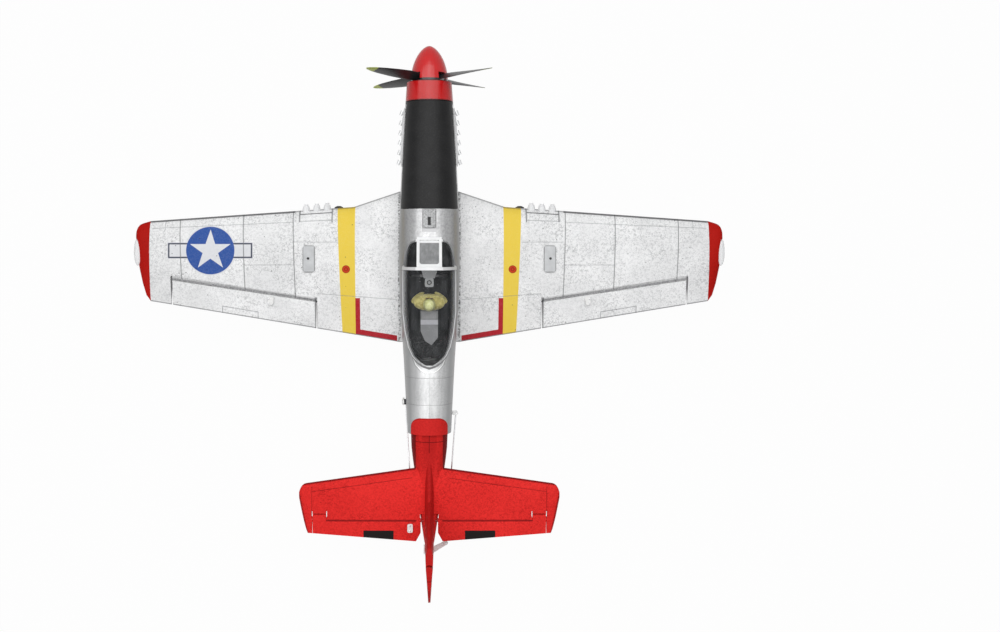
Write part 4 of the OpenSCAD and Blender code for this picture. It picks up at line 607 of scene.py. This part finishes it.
def panel_paint(sh, base, height):
    """Grey shield over black instruments, with the sight's dark ring."""
    ring = sh.band(sh.distance(sh.x, sh.s, 0, 187), 1.3, 2.3, 0.3)
    sight = sh.above(sh.s, 182.8, 0.4)
    shroud = sh.minus(sh.both(sh.above(sh.z, 20.3, 0.3), sh.below(sh.ax, 8.6, 0.3)), sight)
    base = sh.mix(sh.any(sight, shroud), (0.022, 0.022, 0.023), base)
    base = sh.mix(shroud, base, (0.30, 0.305, 0.31))
    base = sh.mix(sight, base, (0.34, 0.35, 0.355))
    return sh.mix(sh.both(sight, ring), base, (0.05, 0.05, 0.05)), height


def tray_paint(sh, base, height):
    """Padded black floor with a tufted rear deck and lighter side consoles."""
    deck = sh.above(sh.s, 238, 2)
    speck = sh.ramp(sh.noise(0.9, 2, 0.7), 0.46, 0.60)
    base = sh.mix(sh.math("MULTIPLY", sh.both(deck, speck), 0.6), base, (0.10, 0.10, 0.10))
    console = sh.both(sh.band(sh.ax, 11, 17, 0.5), sh.band(sh.s, 186, 232, 1.5))
    return sh.mix(sh.math("MULTIPLY", console, 0.5), base, (0.040, 0.041, 0.043)), height


def blades(name):
    """Black blades, tips painted on the faces turned aft."""
    sh = Shade(name, spec=0.4)
    tip = sh.both(sh.above(sh.distance(sh.x, sh.z, 0, 0), 67.5, 0.5), sh.below(sh.forward, 0.0, 0.1))
    fine = sh.noise(0.9, 3)
    black = sh.mix(sh.ramp(sh.noise(9, 2), 0.3, 0.7), (0.010, 0.010, 0.011), (0.024, 0.024, 0.026))
    sh.color(sh.mix(tip, black, (0.50, 0.58, 0.10)))
    sh.set("rough", sh.ramp(fine, 0.3, 0.7, 0.32, 0.45))
    sh.bump(fine, 0.03)
    return sh.mat


def clear(name, grey=(0.50, 0.52, 0.54), centre=0.015, rim=0.5, pane=True):
    """Thin clear moulding: see-through face on, brighter towards its edges, where a more opaque grey is
    painted reflection.
    """
    sh = Shade(name, rough=0.05, spec=0.12)
    # painted reflection: the grey grows more opaque where the surface turns edge-on
    facing = sh.node("ShaderNodeLayerWeight")
    facing.inputs["Blend"].default_value = 0.3
    alpha = sh.blend(sh.ramp(facing.outputs["Facing"], 0.35, 0.98), centre, rim)
    haze = sh.ramp(streaks(sh, 4, 4, 3), 0.40, 0.72, 0.0, 0.035)
    alpha = sh.math("ADD", alpha, haze, clamp=True)
    tint = sh.mix(sh.ramp(sh.noise(12, 2), 0.3, 0.7), tuple(c * 0.93 for c in grey), grey)
    if pane:
        # painted reflection: the front pane is a near-opaque streaked grey
        front = sh.box(sh.ax, sh.s, -1, 9.3, 140, 173.4, 0.3)
        alpha = sh.blend(front, alpha, 0.85)
        pane_reflection = sh.ramp(streaks(sh, 3, 4, 3), 0.35, 0.65)
        tint = sh.mix(front, tint, sh.mix(pane_reflection, (0.26, 0.265, 0.27), (0.36, 0.365, 0.37)))
        corner = sh.distance(sh.math("MAXIMUM", sh.ax, 6.6), sh.math("MAXIMUM", sh.s, 167.4), 6.6, 167.4)
        border = sh.both(front, sh.any(sh.above(corner, 2.2, 0.3), sh.below(sh.s, 150.6, 0.3)))
        tint = sh.mix(border, tint, (0.86, 0.865, 0.87))
        alpha = sh.blend(border, alpha, 1.0)
    sh.color(tint)
    sh.set("alpha", alpha)
    sh.bump(sh.noise(9, 1), 0.02)
    return sh.mat


def tyre_rubber(name):
    sh = Shade(name, spec=0.3)
    fine = sh.noise(0.5, 3)
    sh.color(sh.mix(sh.ramp(sh.noise(6, 2), 0.3, 0.7), (0.010, 0.010, 0.010), (0.028, 0.027, 0.026)))
    sh.set("rough", sh.ramp(fine, 0.3, 0.7, 0.6, 0.85))
    sh.bump(fine, 0.05)
    return sh.mat


def carbon(name):
    sh = Shade(name, rough=0.25, coat=0.7, coat_rough=0.08)
    check = sh.node("ShaderNodeTexChecker")
    sh.link(sh.pos, check.inputs["Vector"])
    check.inputs["Scale"].default_value = 0.8
    check.inputs["Color1"].default_value = (0.012, 0.012, 0.013, 1)
    check.inputs["Color2"].default_value = (0.04, 0.04, 0.043, 1)
    sh.color(check.outputs[0])
    sh.bump(check.outputs[1], 0.04)
    return sh.mat


SILVER = ((0.66, 0.663, 0.666), (0.56, 0.563, 0.566), (0.24, 0.242, 0.246))
M = {
    "wing": wing_foam("wing_foam"),
    "guns": plain_foam("blister_foam", (0.86, 0.865, 0.87), (0.76, 0.765, 0.77), (0.42, 0.42, 0.43),
                       size=1.3),
    "silver": plain_foam("silver_foam", *SILVER, size=1.3, strength=0.5, spec=0.08,
                         extra=fuselage_paint, relief_mm=0.06),
    "red": plain_foam("red_foam", *RED, size=1.9, strength=0.7, rough=0.55, spec=0.04, extra=tail_paint),
    "tip": plain_foam("tip_foam", (0.46, 0.012, 0.008), (0.40, 0.009, 0.006), (0.16, 0.004, 0.003),
                      size=1.3, strength=0.4, rough=0.5, spec=0.04),
    "gloss_red": moulded("gloss_red", (0.56, 0.003, 0.005), rough=0.2, grain=0.004, vary=0.04, spec=0.45,
                         mark=spinner_paint),
    "cowl": moulded("cowl_red", (0.50, 0.003, 0.004), rough=0.24, grain=0.006, vary=0.05, spec=0.35,
                    mark=cowl_paint),
    "hatch": moulded("hatch_black", (0.007, 0.007, 0.0075), rough=0.42, grain=0.03, vary=0.06, spec=0.16,
                     mark=hatch_paint),
    "black": moulded("satin_black", (0.018, 0.018, 0.019), rough=0.4, grain=0.012, vary=0.2),
    "blades": blades("blade_black"),
    "dark": moulded("tray_black", (0.016, 0.0165, 0.0175), rough=0.6, vary=0.3, spec=0.08, mark=tray_paint),
    "panel": moulded("panel_grey", (0.24, 0.245, 0.25), rough=0.5, spec=0.2, mark=panel_paint),
    "radio": moulded("radio_grey", (0.21, 0.213, 0.22), rough=0.5, spec=0.2, mark=radio_paint),
    "cover": moulded("cover_grey", (0.55, 0.56, 0.57), rough=0.45, mark=cover_paint),
    "latch": moulded("latch_silver", (0.50, 0.505, 0.51), rough=0.5, grain=0.12, mark=latch_paint),
    "white": moulded("white_plastic", (0.80, 0.80, 0.79), rough=0.4, grain=0.01, vary=0.03),
    "frame": moulded("frame_white", (0.84, 0.845, 0.85), rough=0.35, grain=0.01, vary=0.04,
                     mark=windshield_paint),
    "rail": moulded("rail_silver", (0.30, 0.302, 0.305), rough=0.4, grain=0.02, vary=0.08, mark=rail_paint),
    "chrome": moulded("silver_plastic", (0.66, 0.665, 0.67), rough=0.34, grain=0.01, vary=0.06, metal=0.3),
    "clear": clear("clear_canopy"),
    "lens": clear("clear_lens", (0.88, 0.89, 0.90), 0.45, 0.8, pane=False),
    "servo": moulded("servo_case", (0.022, 0.023, 0.028), rough=0.3, spec=0.2),
    "wrap": moulded("battery_wrap", (0.55, 0.36, 0.03), rough=0.3, coat=0.3),
    "board": moulded("board_green", (0.015, 0.12, 0.05), rough=0.35, coat=0.3),
    "carbon": carbon("carbon_tube"),
    "wire": moulded("wire_steel", (0.50, 0.50, 0.51), rough=0.3, grain=0.008, metal=0.9),
    "joiner": moulded("painted_wire", (0.30, 0.006, 0.008), rough=0.4, grain=0.01),
    "metal": moulded("turned_metal", (0.28, 0.29, 0.31), rough=0.3, metal=0.9, grain=0.01),
    "copper": moulded("winding_copper", (0.60, 0.22, 0.06), rough=0.35, metal=0.8, grain=0.05),
    "tyre": tyre_rubber("tyre_rubber"),
}
LOOK = {
    "wing": ["wing_left", "wing_right", "aileron_left", "aileron_right"],
    "guns": ["gun_fairings"],
    "silver": ["fuselage_left", "fuselage_right", "belly_scoop"],
    "red": ["tail_left", "tail_right", "tailplane", "elevator_left", "elevator_right", "rudder"],
    "tip": ["wing_tip_left", "wing_tip_right"],
    "gloss_red": ["spinner"], "cowl": ["cowl_ring"],
    "hatch": ["battery_hatch"], "black": ["spinner_backplate"], "blades": ["propeller"],
    "dark": ["cockpit_tray"], "panel": ["instrument_panel"], "radio": ["radio_box"],
    "cover": ["wing_covers"],
    "white": ["aileron_horn_left", "aileron_horn_right", "elevator_horn", "rudder_horn", "aileron_arm_left",
              "aileron_arm_right", "elevator_arm", "rudder_arm", "motor_mount", "rudder_hinges"],
    "frame": ["windshield_frame"], "rail": ["canopy_frame"], "latch": ["hatch_latch"],
    "chrome": ["exhaust_stacks", "wheel_left", "wheel_right", "gear_legs", "tail_fork"],
    "clear": ["canopy_glass"], "lens": ["nav_lenses"], "servo": ["servos"], "wrap": ["battery"],
    "board": ["flight_board"], "carbon": ["wing_spar"],
    "wire": ["aileron_rod_left", "aileron_rod_right", "elevator_rod", "rudder_rod"],
    "joiner": ["elevator_joiner"],
    "metal": ["motor_rotor"], "copper": ["motor_stator"], "tyre": ["tyre_left", "tyre_right", "tail_wheel"],
}


CREASE = 32


def smooth_group():
    """Modifier that welds a mesh and shades it smooth up to a crease angle."""
    group = bpy.data.node_groups.new("soft_shading", "GeometryNodeTree")
    group.interface.new_socket("Geometry", in_out="INPUT", socket_type="NodeSocketGeometry")
    group.interface.new_socket("Geometry", in_out="OUTPUT", socket_type="NodeSocketGeometry")
    group.is_modifier = True
    add = group.nodes.new
    source, sink = add("NodeGroupInput"), add("NodeGroupOutput")
    weld = add("GeometryNodeMergeByDistance")
    shade, edge = add("GeometryNodeSetShadeSmooth"), add("GeometryNodeSetShadeSmooth")
    weld.inputs["Distance"].default_value = 0.000002
    angle, sharp = add("GeometryNodeInputMeshEdgeAngle"), add("FunctionNodeCompare")
    sharp.operation = "LESS_THAN"
    sharp.inputs[1].default_value = math.radians(CREASE)
    edge.domain = "EDGE"
    group.links.new(source.outputs[0], weld.inputs[0])
    group.links.new(weld.outputs[0], shade.inputs[0])
    group.links.new(shade.outputs[0], edge.inputs[0])
    group.links.new(angle.outputs[0], sharp.inputs[0])
    group.links.new(sharp.outputs[0], edge.inputs["Shade Smooth"])
    group.links.new(edge.outputs[0], sink.inputs[0])
    return group


SOFT = smooth_group()
for look, names in LOOK.items():
    for name in names:
        obj = NODES[name]
        obj.data.materials.clear()
        obj.data.materials.append(M[look])
        obj.modifiers.new("soft", "NODES").node_group = SOFT
missing = set(NODES) - {n for names in LOOK.values() for n in names} - {"pilot"}
assert not missing, missing


# ---- pieces ----
def piece(name, mesh_maker, material, body, levels=0):
    bm = bmesh.new()
    mesh_maker(bm)
    bmesh.ops.recalc_face_normals(bm, faces=bm.faces)
    mesh = bpy.data.meshes.new(name)
    bm.to_mesh(mesh)
    bm.free()
    for p in mesh.polygons:
        p.use_smooth = True
    obj = bpy.data.objects.new(name, mesh)
    bpy.context.scene.collection.objects.link(obj)
    mesh.materials.append(material)
    if levels:
        sub = obj.modifiers.new("smooth", "SUBSURF")
        sub.levels = sub.render_levels = levels
    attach(obj, body)
    return obj


def ring_loft(bm, rings, caps=True):
    """Skin through rings of points in the aeroplane's axes."""
    made = [[bm.verts.new(at(*p)) for p in ring] for ring in rings]
    for a, b in zip(made, made[1:]):
        for i in range(len(a)):
            j = (i + 1) % len(a)
            bm.faces.new((a[i], a[j], b[j], b[i]))
    if caps:
        bm.faces.new(list(reversed(made[0])))
        bm.faces.new(made[-1])


def around(n):
    """Angles of n even steps round a circle."""
    return [2 * math.pi * k / n for k in range(n)]


def oval(cx, cs, z, rx, rs, n=16, power=1.0, dip=0.0):
    """Level ring; dip lowers its front and back."""
    pts = []
    for a in around(n):
        c, q = math.cos(a), math.sin(a)
        pts.append((cx + rx * math.copysign(abs(c) ** power, c),
                    cs + rs * math.copysign(abs(q) ** power, q), z - dip * abs(q)))
    return pts


def pilot_pieces():
    low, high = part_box("pilot")
    cs = 205.0
    z0 = local((low + high) / 2)[2] - 12.8
    jacket = Shade("jacket_cloth", rough=0.75, sheen=0.2)
    fold = jacket.noise(3.2, 3, 0.6)
    jacket.color(jacket.mix(jacket.ramp(fold, 0.35, 0.65), (0.34, 0.29, 0.07), (0.60, 0.54, 0.20)))
    jacket.bump(fold, 0.5)
    helmet = Shade("helmet_paint", rough=0.4, coat=0.2)
    patch = helmet.ramp(helmet.noise(2.5, 2), 0.35, 0.65)
    helmet.color(helmet.mix(patch, (0.52, 0.54, 0.20), (0.66, 0.67, 0.34)))
    helmet.bump(helmet.noise(0.8, 2), 0.05)
    skin = Shade("figure_paint", rough=0.5)
    skin.color(skin.mix(skin.ramp(skin.noise(2, 2), 0.3, 0.7), (0.60, 0.35, 0.22), (0.70, 0.45, 0.30)))
    skin.bump(skin.noise(0.7, 2), 0.03)

    def torso(bm):
        ring_loft(bm, [oval(0, cs + 1, z0, 10.5, 6.2, 20, 0.8), oval(0, cs + 1, z0 + 7, 12, 6.8, 20, 0.8),
                       oval(0, cs, z0 + 13, 14.2, 7.8, 20, 0.8),
                       oval(0, cs - 0.3, z0 + 17.5, 15, 7.6, 20, 0.85, 0.6),
                       oval(0, cs - 0.2, z0 + 20.5, 12.5, 6.6, 20, 0.9, 0.8),
                       oval(0, cs, z0 + 22.6, 7.5, 5.2, 20),
                       oval(0, cs, z0 + 24, 4.6, 4.2, 20)])
    body = piece("pilot_jacket", torso, jacket.mat, "airframe", 2)

    def collar(bm):
        ring_loft(bm, [oval(0, cs, z0 + 22.6, 5.6, 5.2, 18),
                       oval(0, cs - 0.4, z0 + 24.6, 5.9, 5.6, 18, 1, 0.4),
                       oval(0, cs - 0.4, z0 + 25.0, 5.0, 4.8, 18, 1, 0.4),
                       oval(0, cs, z0 + 23.6, 4.4, 4.2, 18)], False)
    piece("pilot_collar", collar, jacket.mat, "airframe", 1)

    def sleeves(bm):
        for side in (-1, 1):
            rings = []
            for x, s, z, r in ((11.8, 205.5, 18, 3.7), (14.0, 204.5, 14.5, 3.4), (13.4, 202, 11.0, 3.1),
                               (9.6, 198.5, 9.0, 2.8), (5.4, 196, 8.6, 2.4)):
                rings.append([(side * x + r * math.cos(a) * 0.9, s + r * 0.35 * math.sin(a),
                               z0 + z + r * math.sin(a)) for a in around(12)])
            ring_loft(bm, rings)
    piece("pilot_sleeves", sleeves, jacket.mat, "airframe", 2)

    head_z = z0 + 29.4
    hs = cs + 1.6

    def head(bm):
        rows = [(-6.0, 1.6, 1.8, 0.6), (-5.0, 3.0, 3.3, 0.5), (-3.4, 4.0, 4.6, 0.1), (-1.2, 4.5, 5.0, 0),
                (1.2, 4.7, 5.1, 0), (3.0, 4.2, 4.6, 0.2), (4.6, 2.6, 3.0, 0.4), (5.2, 1.0, 1.2, 0.5)]
        rings = []
        for z, rx, rs, back in rows:
            ring = oval(0, hs - 0.8 + back, head_z + z, rx, rs, 24)
            shaped = []
            for x, s, h in ring:
                if s < hs - 0.8 and abs(x) < 1.3:
                    s -= 0.9 * math.exp(-((z + 1.2) / 1.3) ** 2) * (1 - abs(x) / 1.3)
                if s < hs - 1.5 and 0.8 < abs(x) < 3.0:
                    s += 0.35 * math.exp(-((z - 0.5) / 0.9) ** 2)
                shaped.append((x, s, h))
            rings.append(shaped)
        ring_loft(bm, rings)
    piece("pilot_head", head, skin.mat, "airframe", 2)

    def cap(bm):
        rings = []
        for k in range(9):
            a = math.radians(10 * k + 4)
            r = math.cos(a)
            lift = 5.9 * math.sin(a)
            ring = []
            for x, s, z in oval(0, hs - 0.2, head_z + lift, 5.2 * r + 0.1, 5.7 * r + 0.1, 24):
                front = max(0.0, (hs - 0.2 - s) / 5.7)
                drop = 4.6 * (1 - front) * (1 - k / 8) if front < 0.55 else 0.0
                ring.append((x, s + 0.5 * front, z - drop * (1 if k < 4 else 0.0) + 0.2))
            rings.append(ring)
        ring_loft(bm, rings, False)
    shell = piece("pilot_helmet", cap, helmet.mat, "airframe", 2)
    thick = shell.modifiers.new("thick", "SOLIDIFY")
    thick.thickness = 0.0005
    thick.offset = 1

    def crown(bm):
        ring_loft(bm, [oval(0, hs - 0.2, head_z + 5.75, 1.4, 1.6, 16),
                       oval(0, hs - 0.2, head_z + 6.15, 1.2, 1.3, 16),
                       oval(0, hs - 0.2, head_z + 6.3, 0.6, 0.7, 16)])
    piece("pilot_helmet_crown", crown, helmet.mat, "airframe", 1)

    strap = Shade("goggle_leather", rough=0.6)
    strap.color(strap.mix(strap.ramp(strap.noise(1.5, 2), 0.3, 0.7), (0.05, 0.03, 0.015), (0.10, 0.06, 0.03)))
    strap.bump(strap.noise(0.6, 2), 0.05)

    def goggles(bm):
        for side in (-1, 1):
            rings = []
            for ds, r in ((0.0, 1.5), (-0.5, 1.6), (-0.9, 1.35), (-1.0, 0.9)):
                rings.append([(side * 1.9 + r * math.cos(a), hs - 5.6 + ds,
                               head_z + 2.6 + r * 0.85 * math.sin(a)) for a in around(16)])
            ring_loft(bm, rings)
        band = [(5.55 * math.cos(a), hs - 0.2 + 5.95 * math.sin(a), head_z + 2.6) for a in around(24)]
        upper = [bm.verts.new(at(x, s, z + 0.6)) for x, s, z in band]
        lower = [bm.verts.new(at(x, s, z - 0.6)) for x, s, z in band]
        for i in range(24):
            bm.faces.new((lower[i], lower[(i + 1) % 24], upper[(i + 1) % 24], upper[i]))
    piece("pilot_goggles", goggles, strap.mat, "airframe", 1)
    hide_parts("pilot")


pilot_pieces()


def screws():
    """Small domed screws that hold the aileron and elevator horns."""
    steel = moulded("screw_steel", (0.5, 0.5, 0.51), rough=0.3, metal=1.0, grain=0.01)

    def screw_at(bm, p, normal, r=0.9):
        n = Vector(normal).normalized()
        u = n.orthogonal().normalized()
        v = n.cross(u)
        prev = None
        for h, q in ((0.0, r), (0.25, r), (0.42, r * 0.72), (0.5, r * 0.3)):
            ring = [bm.verts.new(p + (u * math.cos(a) + v * math.sin(a)) * q / 1000 + n * h / 1000)
                    for a in around(12)]
            if prev:
                for i in range(12):
                    bm.faces.new((prev[i], prev[(i + 1) % 12], ring[(i + 1) % 12], ring[i]))
            prev = ring
        bm.faces.new(prev)

    # name, body, then x and station of each screw
    jobs = [("screws_aileron_left", "aileron_left", [(-153.1, 203.9), (-153.1, 208.4)]),
            ("screws_aileron_right", "aileron_right", [(153.1, 203.9), (153.1, 208.4)]),
            ("screws_elevator", "elevator", [(-18.0, 411.9), (-18.0, 416.6)])]
    for name, body, spots in jobs:
        hits = [hit for hit in (drop(x, s) for x, s in spots) if hit]
        if hits:
            piece(name, lambda bm: [screw_at(bm, p, n) for p, n in hits], steel, body)


def drop(x, s, z=200.0):
    """First CAD surface under a point, looking straight down the aeroplane's z."""
    graph = bpy.context.evaluated_depsgraph_get()
    hit, where, normal, *_ = bpy.context.scene.ray_cast(graph, at(x, s, z), -UP)
    return (where, normal) if hit else None


screws()

# ---- stage, light and camera ----
def seen(tree):
    """1 for the rays that see a surface as it is: camera, glossy and transmission rays."""
    path = tree.nodes.new("ShaderNodeLightPath")
    rays = path.outputs["Is Camera Ray"]
    for kind in ("Is Glossy Ray", "Is Transmission Ray"):
        either = tree.nodes.new("ShaderNodeMath")
        either.operation = "MAXIMUM"
        tree.links.new(rays, either.inputs[0])
        tree.links.new(path.outputs[kind], either.inputs[1])
        rays = either.outputs[0]
    return rays


def backdrop():
    """Pale floor: white to the eye but for a share of paper, which keeps the shadow."""
    mesh = bpy.data.meshes.new("floor")
    r, drop_z = 6.0, -0.0005
    mesh.from_pydata([(-r, -r, drop_z), (r, -r, drop_z), (r, r, drop_z), (-r, r, drop_z)], [], [(0, 1, 2, 3)])
    floor = bpy.data.objects.new("floor", mesh)
    bpy.context.scene.collection.objects.link(floor)
    mat = bpy.data.materials.new("floor_paper")
    mat.use_nodes = True
    tree = mat.node_tree
    tree.nodes.clear()
    out = tree.nodes.new("ShaderNodeOutputMaterial")
    paper = tree.nodes.new("ShaderNodeBsdfDiffuse")
    paper.inputs[0].default_value = (0.55, 0.55, 0.55, 1)
    glow = tree.nodes.new("ShaderNodeEmission")
    glow.inputs[0].default_value = (1, 1, 1, 1)
    share = tree.nodes.new("ShaderNodeMath")
    share.operation = "MULTIPLY"
    share.inputs[1].default_value = 0.97
    tree.links.new(seen(tree), share.inputs[0])
    mixed = tree.nodes.new("ShaderNodeMixShader")
    tree.links.new(share.outputs[0], mixed.inputs[0])
    tree.links.new(paper.outputs[0], mixed.inputs[1])
    tree.links.new(glow.outputs[0], mixed.inputs[2])
    tree.links.new(mixed.outputs[0], out.inputs[0])
    mesh.materials.append(mat)


backdrop()

world = bpy.data.worlds.new("studio")
bpy.context.scene.world = world
world.use_nodes = True
wt = world.node_tree
wt.nodes.clear()
w_out = wt.nodes.new("ShaderNodeOutputWorld")
w_light = wt.nodes.new("ShaderNodeBackground")
w_light.inputs[0].default_value = (0.97, 0.98, 1.0, 1)
w_light.inputs[1].default_value = 0.17
w_white = wt.nodes.new("ShaderNodeBackground")
w_white.inputs[0].default_value = (1, 1, 1, 1)
w_white.inputs[1].default_value = 1.0
w_mix = wt.nodes.new("ShaderNodeMixShader")
wt.links.new(seen(wt), w_mix.inputs[0])
wt.links.new(w_light.outputs[0], w_mix.inputs[1])
wt.links.new(w_white.outputs[0], w_mix.inputs[2])
wt.links.new(w_mix.outputs[0], w_out.inputs[0])


def area(name, place, target, width, height, power):
    lamp = bpy.data.lights.new(name, "AREA")
    lamp.shape = "RECTANGLE"
    lamp.size, lamp.size_y = width, height
    lamp.energy = power
    obj = bpy.data.objects.new(name, lamp)
    bpy.context.scene.collection.objects.link(obj)
    obj.location = place
    obj.rotation_euler = (Vector(target) - Vector(place)).to_track_quat("-Z", "Y").to_euler()
    return obj


centre = at(0, 180, 0)
area("key", centre + UP * 1.7 + NOSE * 0.35 - RIGHT * 0.15, centre, 2.2, 2.6, 37)
area("strip", centre + UP * 1.4 + NOSE * 0.7, at(0, 60, 0), 0.5, 1.6, 3)

camera = bpy.data.cameras.new("camera")
camera.sensor_width = 36
camera.lens = 34.55
camera.shift_x = 0.0707
camera.shift_y = -0.076
camera.clip_start = 0.01
view = bpy.data.objects.new("camera", camera)
bpy.context.scene.collection.objects.link(view)
eye = at(0, 148, 900)
view.matrix_world = Matrix([(RIGHT[k], NOSE[k], UP[k], eye[k]) for k in range(3)] + [(0, 0, 0, 1)])
bpy.context.scene.camera = view
bpy.context.scene.view_settings.view_transform = "Standard"
